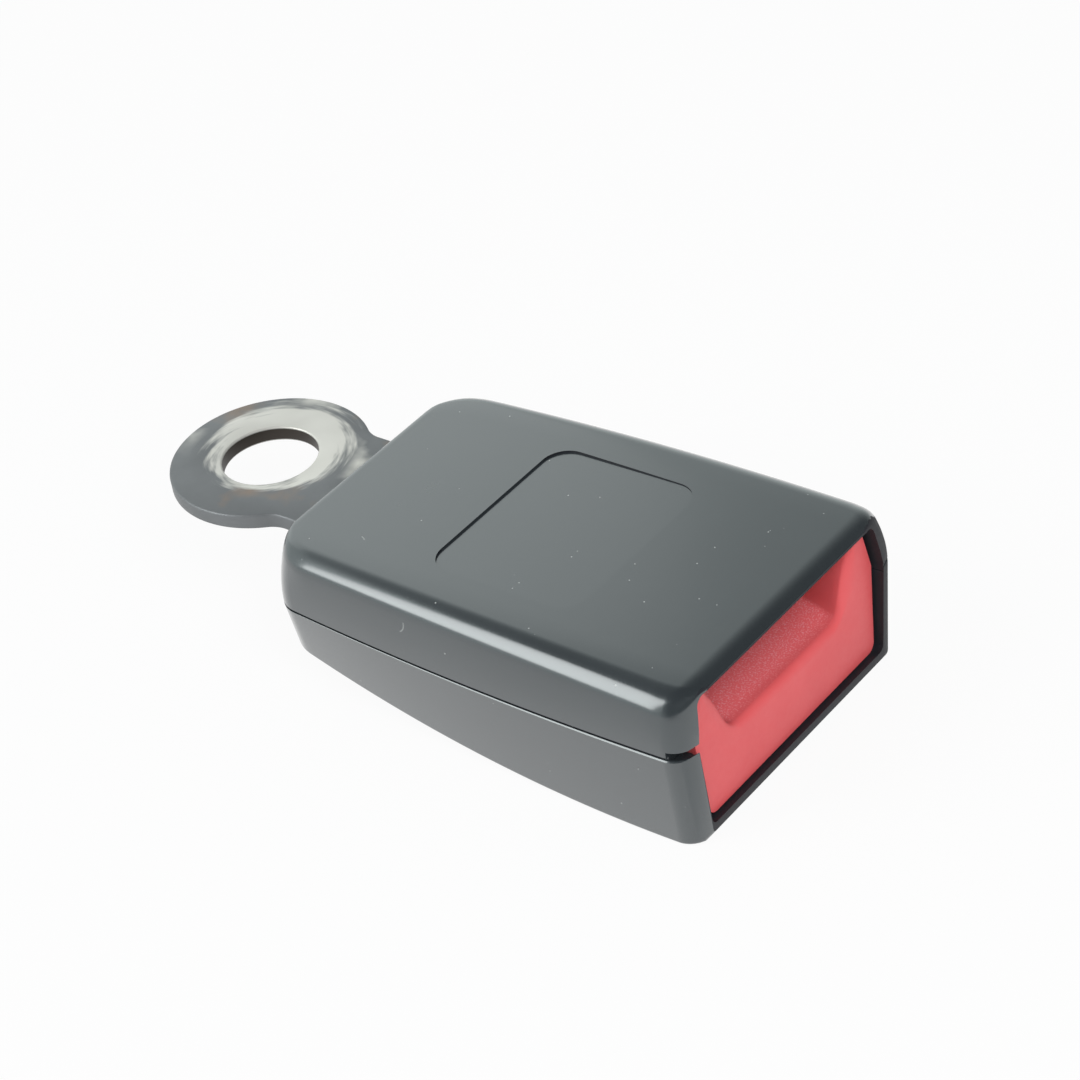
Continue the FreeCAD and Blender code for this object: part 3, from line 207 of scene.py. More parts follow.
plate_low, plate_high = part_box("anchor_plate")
fillet_y = NECK_HALF + NECK_FILLET
fillet_x = math.sqrt((EYE_RADIUS + NECK_FILLET) ** 2 - fillet_y ** 2)
lean = math.degrees(math.atan2(fillet_y, fillet_x))
half_outline = [(plate_high.x, SHOULDER_HALF),
                (SHOULDER_START + SHOULDER_HALF - NECK_HALF, SHOULDER_HALF), (SHOULDER_START, NECK_HALF)]
half_outline += arc((fillet_x, fillet_y), NECK_FILLET, 270, 180 + lean, 10)
half_outline += arc((0, 0), EYE_RADIUS, lean, 180, 60)[1:]
plate_outline = half_outline + [(x, -y) for x, y in reversed(half_outline[:-1])]
plate = prism("anchor_plate_steel", plate_outline, plate_low.z, plate_high.z)
hole = prism("hole", arc((0, 0), HOLE_RADIUS, 0, 354, 59), plate_low.z - MM, plate_high.z + MM)
carve(plate, hole)
edge = plate.modifiers.new("stamped edge", "BEVEL")
edge.width = PLATE_EDGE
edge.segments = 3
edge.angle_limit = math.radians(50)
settle(plate)

# Steel plate, stamped and coated: satin dark grey with a soft cloudy tone, bright
# metal with scratches round the hole where the washer turned, paler metal chafed
# along the far rim, brown rust where the coating ends, and the bore's wall painted darker.
coated, tree, shader = new_material("coated_stamped_steel")
place = add_node(tree, "ShaderNodeTexCoord").outputs["Object"]
axes = add_node(tree, "ShaderNodeSeparateXYZ", {0: place}).outputs
flat = add_node(tree, "ShaderNodeCombineXYZ", {"X": axes["X"], "Y": axes["Y"]}).outputs[0]
reach = add_node(tree, "ShaderNodeVectorMath", {0: flat}, operation="LENGTH").outputs["Value"]
bearing = add_node(tree, "ShaderNodeVectorMath", {0: flat}, operation="NORMALIZE").outputs["Vector"]
turned_reach = add_node(tree, "ShaderNodeMath", {0: reach, 1: SCRATCH_TURN}, operation="MULTIPLY").outputs[0]
rubbing = add_node(tree, "ShaderNodeCombineXYZ", {"Z": turned_reach}).outputs[0]
rubbing = add_node(tree, "ShaderNodeVectorMath", {0: bearing, 1: rubbing},
                   operation="ADD").outputs["Vector"]
arcs = add_node(tree, "ShaderNodeTexNoise",
                {"Vector": rubbing, "Scale": 1.3, "Detail": 3.0, "Roughness": 0.55}).outputs["Fac"]
ragged = add_node(tree, "ShaderNodeTexNoise",
                  {"Vector": place, "Scale": 0.26 / MM, "Detail": 6.0, "Roughness": 0.65}).outputs["Fac"]
cloudy = add_node(tree, "ShaderNodeTexNoise",
                  {"Vector": place, "Scale": 0.09 / MM, "Detail": 4.0}).outputs["Fac"]
washer = add_node(tree, "ShaderNodeVectorMath", {0: flat, 1: WASHER_CENTRE},
                  operation="DISTANCE").outputs["Value"]
shifted = add_node(tree, "ShaderNodeMath", {0: arcs, 1: WEAR_WANDER, 2: -WEAR_WANDER / 2},
                   operation="MULTIPLY_ADD").outputs[0]
worn_reach = add_node(tree, "ShaderNodeMath", {0: washer, 1: shifted}, operation="ADD").outputs[0]
worn = add_node(tree, "ShaderNodeMapRange",
                {"Value": worn_reach, "From Min": WASHER_RADIUS + WEAR_FADE,
                 "From Max": WASHER_RADIUS - WEAR_FADE},
                interpolation_type="SMOOTHSTEP").outputs[0]
rusty = add_node(tree, "ShaderNodeMapRange",
                 {"Value": cloudy, "From Min": 0.58, "From Max": 0.72}).outputs[0]
tone = add_node(tree, "ShaderNodeMix", {0: cloudy, 6: srgb(DULLED_STEEL), 7: srgb(COATED_STEEL)},
                data_type="RGBA").outputs[2]
rust_and_dark_bore = add_node(tree, "ShaderNodeMix", {0: rusty, 6: tone, 7: srgb(RUST)}, data_type="RGBA").outputs[2]
bright = add_node(tree, "ShaderNodeMix", {0: cloudy, 6: srgb(SCUFFED_STEEL), 7: srgb(BARE_STEEL)},
                  data_type="RGBA").outputs[2]
rim = add_node(tree, "ShaderNodeMapRange", {"Value": reach, "From Min": CHAFED_RIM[0],
                                            "From Max": CHAFED_RIM[1]}).outputs[0]
chafed = add_node(tree, "ShaderNodeMapRange",
                  {"Value": cloudy, "From Min": 0.53, "From Max": 0.41}).outputs[0]
chafed = add_node(tree, "ShaderNodeMath", {0: chafed, 1: rim}, operation="MULTIPLY").outputs[0]
far_side = add_node(tree, "ShaderNodeMapRange", {"Value": axes["Y"], "From Min": CHAFED_SIDE[0],
                                                 "From Max": CHAFED_SIDE[1]}).outputs[0]
chafed = add_node(tree, "ShaderNodeMath", {0: chafed, 1: far_side}, operation="MULTIPLY").outputs[0]
worn = add_node(tree, "ShaderNodeMath", {0: worn, 1: chafed}, operation="MAXIMUM").outputs[0]
level = add_node(tree, "ShaderNodeMath", {0: axes["Z"]}, operation="ABSOLUTE").outputs[0]
on_face = add_node(tree, "ShaderNodeMapRange", {"Value": level, "From Min": FACE_LEVEL[0],
                                                "From Max": FACE_LEVEL[1]}).outputs[0]
worn = add_node(tree, "ShaderNodeMath", {0: worn, 1: on_face}, operation="MULTIPLY").outputs[0]
# The bore's wall is painted darker than the coating.
in_bore = add_node(tree, "ShaderNodeMath", {0: reach, 1: BORE_REACH},
                   operation="LESS_THAN").outputs[0]
wall = add_node(tree, "ShaderNodeMath", {0: in_bore, 1: on_face}, operation="SUBTRACT",
                use_clamp=True).outputs[0]
rust_and_dark_bore = add_node(tree, "ShaderNodeMix", {0: wall, 6: rust_and_dark_bore, 7: srgb(BORE_WALL_DARK)},
                   data_type="RGBA").outputs[2]
surface = add_node(tree, "ShaderNodeMix", {0: worn, 6: rust_and_dark_bore, 7: bright}, data_type="RGBA").outputs[2]
rough = add_node(tree, "ShaderNodeMapRange", {"Value": ragged, "To Min": 0.34, "To Max": 0.62}).outputs[0]
relief = add_node(tree, "ShaderNodeBump", {"Strength": 0.25, "Distance": 0.05 * MM, "Height": ragged})
tree.links.new(surface, shader.inputs["Base Color"])
tree.links.new(rough, shader.inputs["Roughness"])
tree.links.new(relief.outputs["Normal"], shader.inputs["Normal"])
shader.inputs["Metallic"].default_value = 0.55
finish_piece(plate, coated, "housing", "plate_steel", "anchor_plate", smooth=50)

# Covers: two glossy black ABS mouldings that meet in a stepped joint round the
# housing. The upper one is crowned, with a sunk rounded panel and a rolled mouth
# edge; the lower one is the belly, which deepens towards the mouth.

HOUSING_REAR = 15.4 * MM
HOUSING_FRONT = 76.6 * MM
REAR_HALF = 18.85 * MM
FRONT_HALF = 21.3 * MM
SIDE_BOW = 0.67 * MM
TOP_HEIGHT = 4.73 * MM
TOP_CROWN = 0.42 * MM
TOP_DRAW = (0.68 * MM, 1.13 * MM)
BOTTOM_DRAW = (1.11 * MM, 1.1 * MM)
JOINT_HEIGHTS = (-3.05 * MM, -3.12 * MM, -2.39 * MM)
BELLY_HEIGHTS = (-9.59 * MM, -14.77 * MM, -15.7 * MM)
TOP_ROUND = (2.7 * MM, 3.4 * MM)
TOP_ROUND_LIMIT = 0.6
CORNER_EASING = 0.7
SIDE_CURVE = 1.6
BOTTOM_ROUND = 0.5 * MM
FRONT_SET_BACK = 0.5 * MM
REAR_EDGE = 0.8 * MM
REAR_CORNER = 3.7 * MM
REAR_CORNER_TOP = 6.4 * MM
FRONT_CORNER = 2.9 * MM
FRONT_CORNER_TOP = 4.6 * MM
ROLL_RADIUS = 5.6 * MM
ROLL_LENGTH = 2.4 * MM
JOINT_GAP = (0.24 * MM, 0.4 * MM)
RIM_BREAK = (0.02 * MM, 0.15 * MM)
RIM_SET_IN = 0.01 * MM
JOINT_FOOT = 0.08 * MM
STEP_WIDTH = 0.45 * MM
STEP_DEPTH = 0.9 * MM
STEP_GAP = (0.04 * MM, 0.08 * MM)
WALL = 2.2 * MM
THIN_WALL = 1.6 * MM
MOUTH_DEPTH = 5.0 * MM
MOUTH_WALL = 2.9 * MM
MOUTH_CEILING = 3.13 * MM
MOUTH_FLOOR = -14.1 * MM
MOUTH_ROUND = 0.9 * MM
MOUTH_OVERRUN = 0.2
LIP_ROUND = 1.4 * MM
LIP_DROP = 0.86 * MM
NOTCH_LENGTH = 2.4 * MM
NOTCH_DEPTH = FRONT_CORNER + 0.8 * MM
NOTCH_RISE = 0.75 * MM
GATE_HALF = 9.5 * MM
GATE_HEIGHTS = (-5.0 * MM, 1.3 * MM)
TAB_HALF = 9.15 * MM
TAB_TOP = -1.3 * MM
TAB_ROOT = 1.2 * MM
TAB_SET_IN = 0.1 * MM
PANEL = (35.5 * MM, 56.4 * MM, 12.9 * MM, 3.2 * MM)
PANEL_SINK = (0.27 * MM, 0.1 * MM)
RIM_FACING = 0.6
NEAR_RIM = -16.4 * MM
MOUTH_MIDDLE = -5.5 * MM
CROSS_STEPS = 6


def through(values, share):
    """Smooth curve through three values at the start, middle and end."""
    start, middle, end = values
    bend = 2 * (start + end - 2 * middle)
    return start + (end - start - bend) * share + bend * share * share


def inset(distance, radius):
    """How far a rounded edge lies inside its corner at a distance from the end."""
    if distance >= radius:
        return 0.0
    return radius - math.sqrt(max(radius ** 2 - (radius - distance) ** 2, 0.0))


def share_at(x):
    """How far along the housing a place lies, from 0 at the rear to 1 at the mouth."""
    return (x - HOUSING_REAR) / (HOUSING_FRONT - HOUSING_REAR)


def crown_at(x):
    """Height of the crowned top, down over its rear edge and its rolled front edge."""
    share = share_at(x)
    height = TOP_HEIGHT + 4 * TOP_CROWN * share * (1 - share)
    rolled = max(x - HOUSING_FRONT + ROLL_LENGTH, 0.0)
    roll = ROLL_RADIUS - math.sqrt(ROLL_RADIUS ** 2 - rolled ** 2)
    return height - roll - inset(x - HOUSING_REAR, REAR_EDGE)


def belly_at(x):
    """Height of the belly, up over its rounded ends."""
    rounding = inset(x - HOUSING_REAR, REAR_EDGE) + inset(HOUSING_FRONT - x, BOTTOM_ROUND)
    return through(BELLY_HEIGHTS, share_at(x)) + rounding


def joint_at(x):
    """Height of the parting line, which rises towards the mouth."""
    return through(JOINT_HEIGHTS, share_at(x))


def half_at(x):
    """Half-width at the joint: tapered, bowed and rounded into both ends."""
    share = share_at(x)
    half = REAR_HALF + (FRONT_HALF - REAR_HALF) * share + 4 * SIDE_BOW * share * (1 - share)
    return half - inset(x - HOUSING_REAR, REAR_CORNER) - inset(HOUSING_FRONT - x, FRONT_CORNER)


def mixed(pair, x):
    """A size that changes evenly from the rear to the mouth."""
    return pair[0] + (pair[1] - pair[0]) * share_at(x)


def stations(start, end, fine_start, fine_end, step, fine=12):
    """Places along the housing, closer together over the rounded ends."""
    plain = end - fine_end - start - fine_start
    count = max(int(plain / step), 1)
    places = [start + fine_start * (1 - math.cos(math.pi / 2 * k / fine)) for k in range(fine + 1)]
    places += [start + fine_start + plain * k / count for k in range(1, count)]
    places += [end - fine_end * math.sin(math.pi / 2 * (fine - k) / fine) for k in range(fine + 1)]
    return places


def corner(edge_half, edge_height, slope, radius, up, steps=10):
    """Arc that rounds a leaning side into a flat top or bottom."""
    centre_half = edge_half - radius * (1 - math.sin(slope)) / math.cos(slope)
    centre_height = edge_height - up * radius
    return [(centre_half + radius * math.cos(angle), centre_height + up * radius * math.sin(angle))
            for angle in [slope + (math.pi / 2 - slope) * k / steps for k in range(steps + 1)]]


def mirrored(half):
    """A full closed outline from its far half, which starts and ends in the middle."""
    return half + [(-y, z) for y, z in reversed(half[1:-1])]


def upper_section(x):
    """The upper cover's outline across the housing, with the step under its rim."""
    joint = joint_at(x)
    top = crown_at(x)
    half = half_at(x)
    draw = mixed(TOP_DRAW, x)
    edge_half = half - (top - joint) * draw / (TOP_HEIGHT - joint)
    edge_half -= inset(x - HOUSING_REAR, REAR_CORNER_TOP) - inset(x - HOUSING_REAR, REAR_CORNER)
    edge_half -= inset(HOUSING_FRONT - x, FRONT_CORNER_TOP) - inset(HOUSING_FRONT - x, FRONT_CORNER)
    slope = math.atan2(SIDE_CURVE * (half - edge_half), top - joint)
    radius = mixed(TOP_ROUND, x) - CORNER_EASING * inset(HOUSING_FRONT - x, FRONT_CORNER)
    radius = min(radius, TOP_ROUND_LIMIT * (top - joint))
    outline = [(0.0, joint - STEP_DEPTH), (half - STEP_WIDTH, joint - STEP_DEPTH), (half - STEP_WIDTH, joint)]
    rounded = corner(edge_half, top, slope, radius, 1)
    foot = Vector((half, joint + JOINT_FOOT))
    knee = Vector((half, rounded[0][1] - (half - rounded[0][0]) / math.tan(slope)))
    outline += [(half - JOINT_FOOT, joint)]
    for step in range(CROSS_STEPS):
        t = step / CROSS_STEPS
        bent = foot.lerp(knee, t).lerp(knee.lerp(Vector(rounded[0]), t), t)
        outline.append((bent.x, bent.y))
    outline += rounded
    outline += [(outline[-1][0] * (1 - k / CROSS_STEPS), top) for k in range(1, CROSS_STEPS + 1)]
    return [(x, y, z) for y, z in mirrored(outline)]


def set_back(x, z):
    """The mouth's front leans back towards the belly."""
    depth = max((JOINT_HEIGHTS[2] - z) / (JOINT_HEIGHTS[2] - BELLY_HEIGHTS[2]), 0.0)
    return FRONT_SET_BACK * depth * share_at(x) ** 4


def lower_section(x):
    """The lower cover's outline across the housing, with the step inside its rim."""
    rim = joint_at(x) - mixed(JOINT_GAP, x)
    shelf = joint_at(x) - STEP_DEPTH - STEP_GAP[1]
    belly = belly_at(x)
    half = half_at(x)
    draw = mixed(BOTTOM_DRAW, x)
    slope = math.atan2(draw, rim - through(BELLY_HEIGHTS, share_at(x)))
    edge_half = half - (rim - belly) * math.tan(slope)
    outline = corner(edge_half, belly, slope, BOTTOM_ROUND, -1)
    inner_half = outline[-1][0]
    outline = [(inner_half * (1 - k / CROSS_STEPS), belly) for k in range(CROSS_STEPS, 0, -1)] + outline[::-1]
    rim_break = mixed(RIM_BREAK, x)
    outline += [(half - RIM_SET_IN, rim - rim_break), (half - rim_break, rim)]
    step_half = half - STEP_WIDTH + STEP_GAP[0]
    outline += [(step_half, rim), (step_half, shelf), (0.0, shelf)]
    return [(x - set_back(x, z), y, z) for y, z in mirrored(outline)]


def room_section(x):
    """The space inside the walls."""
    joint = joint_at(x)
    half = half_at(x) - WALL
    share = share_at(x)
    top = TOP_HEIGHT + 4 * TOP_CROWN * share * (1 - share) - THIN_WALL
    belly = through(BELLY_HEIGHTS, share) + THIN_WALL
    outline = [(0.0, belly), (half - mixed(BOTTOM_DRAW, x), belly), (half, joint),
               (half - mixed(TOP_DRAW, x), top), (0.0, top)]
    return [(x, y, z) for y, z in mirrored(outline)]


def mouth_section(x):
    """The straight mouth that the button fills, with its ceiling flared at the lip."""
    opened = min(max((x - HOUSING_FRONT + ROLL_LENGTH) / ROLL_LENGTH, 0.0), 1 + MOUTH_OVERRUN)
    flare = (TOP_HEIGHT - LIP_DROP - MOUTH_CEILING) * opened
    rounding = MOUTH_ROUND + (LIP_ROUND - MOUTH_ROUND) * opened
    half = FRONT_HALF - MOUTH_WALL
    joint = JOINT_HEIGHTS[2]
    slope = math.atan2(BOTTOM_DRAW[1], joint - MOUTH_FLOOR)
    outline = [(0.0, MOUTH_FLOOR)] + corner(half - BOTTOM_DRAW[1], MOUTH_FLOOR, slope, MOUTH_ROUND, -1)[::-1]
    slope = math.atan2(TOP_DRAW[1], MOUTH_CEILING - joint)
    outline += [(half, joint)] + corner(half - TOP_DRAW[1], MOUTH_CEILING + flare, slope, rounding, 1)
    outline += [(0.0, MOUTH_CEILING + flare)]
    return [(x, y, z) for y, z in mirrored(outline)]


def hollow_forms():
    """Closed forms of the room inside and of the mouth."""
    room_ends = (HOUSING_REAR + WALL, HOUSING_FRONT - MOUTH_DEPTH)
    room = [room_ends[0] + (room_ends[1] - room_ends[0]) * k / 12 for k in range(13)]
    mouth = [HOUSING_FRONT - MOUTH_DEPTH - MM, HOUSING_FRONT - ROLL_LENGTH, HOUSING_FRONT,
             HOUSING_FRONT + MOUTH_OVERRUN * ROLL_LENGTH]
    return (outward(skin("room", [room_section(x) for x in room])),
            outward(skin("mouth", [mouth_section(x) for x in mouth])))


def panel_section(x):
    """The sunk panel's cutter, as wide as its rounded outline allows."""
    start, end, half, radius = PANEL
    width = half - inset(x - start, radius) - inset(end - x, radius)
    along_panel = (x - start) / (end - start)
    floor = crown_at(x) - PANEL_SINK[0] - (PANEL_SINK[1] - PANEL_SINK[0]) * along_panel
    return [(x, -width, floor), (x, width, floor), (x, width, floor + 2 * MM), (x, -width, floor + 2 * MM)]


def rectangle(start, end, near, far):
    """A flat outline with four corners."""
    return [(start, near), (end, near), (end, far), (start, far)]


along = stations(HOUSING_REAR, HOUSING_FRONT, REAR_CORNER, FRONT_CORNER, 1.0 * MM)
upper = outward(skin("upper_cover_shell", [upper_section(x) for x in along]))
panel_places = stations(PANEL[0], PANEL[1], PANEL[3], PANEL[3], 1.5 * MM)
panel = outward(skin("panel", [panel_section(x) for x in panel_places]))
notch = prism("notch", rectangle(HOUSING_FRONT - NOTCH_LENGTH, HOUSING_FRONT + MM,
                                 -FRONT_HALF - MM, NOTCH_DEPTH - FRONT_HALF),
              JOINT_HEIGHTS[2] - 2 * MM, JOINT_HEIGHTS[2] + NOTCH_RISE)
gate = prism("gate", rectangle(HOUSING_REAR - MM, HOUSING_REAR + 3 * MM, -GATE_HALF, GATE_HALF),
             *GATE_HEIGHTS)
carve(upper, *hollow_forms(), panel, gate, notch)

lower = outward(skin("lower_cover_shell", [lower_section(x) for x in along]))
carve(lower, *hollow_forms())
tab = prism("tab", rectangle(HOUSING_REAR + TAB_SET_IN, HOUSING_REAR + WALL, -TAB_HALF, TAB_HALF),
            JOINT_HEIGHTS[0] - TAB_ROOT, TAB_TOP)
carve(lower, tab, operation="UNION")

# Black ABS from a polished mould: a nearly black body under a clear, glossy skin
# with the faint waviness of a moulding. Specks and short fibres of dust lie on it
# and dull the skin there.
cover_plastic, tree, shader = new_material("polished_abs")
place = add_node(tree, "ShaderNodeTexCoord").outputs["Object"]
waves = add_node(tree, "ShaderNodeTexNoise",
                 {"Vector": place, "Scale": 0.22 / MM, "Detail": 2.0}).outputs["Fac"]
patchy = add_node(tree, "ShaderNodeTexNoise",
                  {"Vector": place, "Scale": 0.06 / MM, "Detail": 5.0, "Roughness": 0.6}).outputs["Fac"]
crumbs = add_node(tree, "ShaderNodeTexVoronoi", {"Vector": place, "Scale": 0.8 / MM, "Randomness": 1.0})
chosen = add_node(tree, "ShaderNodeSeparateColor", {0: crumbs.outputs["Color"]}).outputs[0]
rare = add_node(tree, "ShaderNodeMath", {0: chosen, 1: 0.86}, operation="GREATER_THAN").outputs[0]
dot = add_node(tree, "ShaderNodeMapRange",
               {"Value": crumbs.outputs["Distance"], "From Min": 0.09, "From Max": 0.05}).outputs[0]
speck = add_node(tree, "ShaderNodeMath", {0: rare, 1: dot}, operation="MULTIPLY").outputs[0]

# A fibre is a thin curved sheet through a few cells, seen where it meets the skin.
FIBRE_CELLS = 0.26 / MM
threads = add_node(tree, "ShaderNodeTexVoronoi", {"Vector": place, "Scale": FIBRE_CELLS, "Randomness": 1.0})
kept = add_node(tree, "ShaderNodeSeparateColor", {0: threads.outputs["Color"]}).outputs[1]
kept = add_node(tree, "ShaderNodeMath", {0: kept, 1: 0.74}, operation="GREATER_THAN").outputs[0]
leaning = add_node(tree, "ShaderNodeVectorMath", {0: threads.outputs["Color"], 1: (0.5, 0.5, 0.5)},
                   operation="SUBTRACT").outputs["Vector"]
leaning = add_node(tree, "ShaderNodeVectorMath", {0: leaning}, operation="NORMALIZE").outputs["Vector"]
scaled = add_node(tree, "ShaderNodeVectorMath", {0: place, "Scale": FIBRE_CELLS},
                  operation="SCALE").outputs["Vector"]
local = add_node(tree, "ShaderNodeVectorMath", {0: scaled, 1: threads.outputs["Position"]},
                 operation="SUBTRACT").outputs["Vector"]
sheet = add_node(tree, "ShaderNodeVectorMath", {0: local, 1: leaning},
                 operation="DOT_PRODUCT").outputs["Value"]
reach = threads.outputs["Distance"]
bowed = add_node(tree, "ShaderNodeMath", {0: reach, 1: 2.0}, operation="POWER").outputs[0]
bowed = add_node(tree, "ShaderNodeMath", {0: bowed, 1: 0.9, 2: sheet}, operation="MULTIPLY_ADD").outputs[0]
bowed = add_node(tree, "ShaderNodeMath", {0: bowed}, operation="ABSOLUTE").outputs[0]
hair = add_node(tree, "ShaderNodeMapRange", {"Value": bowed, "From Min": 0.02, "From Max": 0.005}).outputs[0]
near_by = add_node(tree, "ShaderNodeMath", {0: reach, 1: 0.2}, operation="LESS_THAN").outputs[0]
hair = add_node(tree, "ShaderNodeMath", {0: hair, 1: near_by}, operation="MULTIPLY").outputs[0]
hair = add_node(tree, "ShaderNodeMath", {0: hair, 1: kept}, operation="MULTIPLY").outputs[0]
hair = add_node(tree, "ShaderNodeMath", {0: hair, 1: 0.5}, operation="MULTIPLY").outputs[0]
dust = add_node(tree, "ShaderNodeMath", {0: speck, 1: hair}, operation="MAXIMUM").outputs[0]
body_tone = add_node(tree, "ShaderNodeMix", {0: patchy, 6: srgb("#25292c"), 7: srgb("#2e3336")},
                     data_type="RGBA").outputs[2]
dusty = add_node(tree, "ShaderNodeMix", {0: dust, 6: body_tone, 7: srgb("#a2a6a3")},
                 data_type="RGBA").outputs[2]
rough = add_node(tree, "ShaderNodeMapRange", {"Value": patchy, "To Min": 0.2, "To Max": 0.3}).outputs[0]
relief = add_node(tree, "ShaderNodeBump", {"Strength": 0.2, "Distance": 0.02 * MM, "Height": waves})
clean = add_node(tree, "ShaderNodeMath", {0: 1.0, 1: dust}, operation="SUBTRACT").outputs[0]
tree.links.new(dusty, shader.inputs["Base Color"])
tree.links.new(clean, shader.inputs["Coat Weight"])
tree.links.new(rough, shader.inputs["Roughness"])
tree.links.new(relief.outputs["Normal"], shader.inputs["Normal"])
tree.links.new(relief.outputs["Normal"], shader.inputs["Coat Normal"])
shader.inputs["IOR"].default_value = 1.6
shader.inputs["Specular Tint"].default_value = srgb("#e4f2f3")
shader.inputs["Coat Roughness"].default_value = 0.15
shader.inputs["Coat IOR"].default_value = 1.62

# The same ABS where the mould was left spark-eroded, in the mouth and inside: matt and
# nearly black, a darker copy as painted shade, so that the rim reads as a dark line round the button.
matt_plastic_painted_shade, tree, shader = new_material("eroded_abs_painted_shade")
place = add_node(tree, "ShaderNodeTexCoord").outputs["Object"]
pits = add_node(tree, "ShaderNodeTexNoise",
                {"Vector": place, "Scale": 2.6 / MM, "Detail": 3.0}).outputs["Fac"]
tone = add_node(tree, "ShaderNodeMix", {0: pits, 6: srgb("#18191d"), 7: srgb("#26272d")},
                data_type="RGBA").outputs[2]
rough = add_node(tree, "ShaderNodeMapRange", {"Value": pits, "To Min": 0.55, "To Max": 0.75}).outputs[0]
relief = add_node(tree, "ShaderNodeBump", {"Strength": 0.4, "Distance": 0.02 * MM, "Height": pits})
tree.links.new(tone, shader.inputs["Base Color"])
tree.links.new(rough, shader.inputs["Roughness"])
tree.links.new(relief.outputs["Normal"], shader.inputs["Normal"])
shader.inputs["IOR"].default_value = 1.53


def painted_shade_faces(centre, normal):
    """Picks the faces painted as shade with the darker matt copy: the mouth's walls, its rim and the room
    behind, though the skin takes in the near rim.
    """
    inward = normal.x > -RIM_FACING and normal.y * centre.y + normal.z * (centre.z - MOUTH_MIDDLE) < 0
    rim = normal.x > RIM_FACING and centre.x > HOUSING_FRONT - MOUTH_DEPTH
    return inward or (rim and centre.y > NEAR_RIM)


# The mouth's walls and rim take the darker matt copy as painted shade.
for cover, node in ((upper, "upper_cover"), (lower, "lower_cover")):
    finish_piece(cover, cover_plastic, "housing", "cover_plastic", node,
                 inner=matt_plastic_painted_shade, is_inner=painted_shade_faces)

# Button: a red acetal moulding that slides in the mouth. Its scoop guides the
# tongue and the finger, and two arms run back beside the frame, with bores for the
# spring guides and with ramps that press the latch's ears down.

BUTTON_REAR = 66.5 * MM
BUTTON_FRONT = 75.4 * MM
BUTTON_GAP = 0.35 * MM
BUTTON_TOP = 2.83 * MM
BUTTON_ROUND = 1.3 * MM
BUTTON_SIDE_GAP = 0.75 * MM
BUTTON_TAPER = (1.2 * MM, 1.1 * MM)
LIP_START = 74.5 * MM
BUTTON_EDGE = 0.35 * MM
SCOOP_FRONT = [(0.0, -6.87), (4.2, -6.87), (7.6, -6.86), (9.2, -6.65), (10.6, -5.95), (11.9, -4.9),
               (13.0, -3.8), (13.9, -2.8), (14.5, -1.8), (14.85, -0.6), (15.05, 0.9), (15.1, 2.83)]
SCOOP_LIP = [(0.0, -5.62), (4.2, -5.62), (7.6, -5.62), (9.4, -5.55), (10.4, -5.2), (11.0, -4.6),
             (11.5, -3.6), (12.0, -2.3), (12.6, -0.9), (13.3, 0.5), (14.0, 1.7), (14.6, 2.83)]
SCOOP_REAR = [(0.0, -5.6), (5.4, -5.6), (9.8, -5.6), (11.4, -5.58), (12.3, -5.45), (12.7, -5.1),
              (12.85, -4.7), (12.9, -4.1), (12.93, -3.0), (12.97, -1.4), (13.02, 0.6), (13.08, 2.83)]
ARM_REAR = 38.0 * MM
RAMP_START = 45.75 * MM
RAMP_END = 52.05 * MM
STOP_PLACES = (52.0 * MM, 53.8 * MM)
ARM_ROOT = 68.3 * MM
RAMP_TOP = -5.65 * MM
RAMP_LOW = -9.6 * MM
ARM_TOP = -1.6 * MM
STOP_TOP = 0.3 * MM
ARM_INNER = 14.2 * MM
ARM_OUTER = 16.9 * MM
GUIDE_ROW = 15.5 * MM
GUIDE_LEVEL = -3.8 * MM
GUIDE_BORE = 1.05 * MM
GUIDE_REACH = (37.5 * MM, 40.8 * MM)
# Where the scoop's floor is etched and also painted paler as painted light.
ETCHED_AND_LIT_FADE = (LIP_START + 0.3 * MM, LIP_START - 1.4 * MM)
ETCHED_AND_LIT_LEVEL = (-4.9 * MM, -5.3 * MM)
ETCHED_AND_LIT_LOW = -6.2 * MM


def smoothed(points, steps=4):
    """A finer line through points, curved from each to the next."""
    line = []
    for index in range(len(points) - 1):
        before = Vector(points[max(index - 1, 0)])
        start = Vector(points[index])
        end = Vector(points[index + 1])
        after = Vector(points[min(index + 2, len(points) - 1)])
        for step in range(steps):
            t = step / steps
            squared = (2 * before - 5 * start + 4 * end - after) * t * t
            cubed = (3 * start - before - 3 * end + after) * t ** 3
            line.append(0.5 * (2 * start + (end - before) * t + squared + cubed))
    line.append(Vector(points[-1]))
    return line


scoop_front = smoothed(SCOOP_FRONT)
scoop_lip = smoothed(SCOOP_LIP)
scoop_rear = smoothed(SCOOP_REAR)


def button_section(x):
    """Outline across the button: its block with the scoop open at the top."""
    share = min((x - BUTTON_REAR) / (LIP_START - BUTTON_REAR), 1.0)
    over = max((x - LIP_START) / (BUTTON_FRONT - LIP_START), 0.0)
    rounded = 1 - math.sqrt(max(1 - over * over, 0.0))
    side = FRONT_HALF - MOUTH_WALL - BUTTON_SIDE_GAP
    low = MOUTH_FLOOR + BUTTON_GAP
    slope = math.atan2(BUTTON_TAPER[1], JOINT_HEIGHTS[2] - low)
    joint = JOINT_HEIGHTS[2]
    outline = [(0.0, low)]
    outline += corner(side - BUTTON_TAPER[1], low, slope, BUTTON_ROUND, -1)[::-1]
    outline += [(side, joint), (side - BUTTON_TAPER[0], BUTTON_TOP)]
    ruled = [rear.lerp(lip, share).lerp(front, rounded) * MM
             for rear, lip, front in zip(scoop_rear, scoop_lip, scoop_front)]
    outline += [(point.x, point.y) for point in reversed(ruled)]
    return [(x, y, z) for y, z in mirrored(outline)]


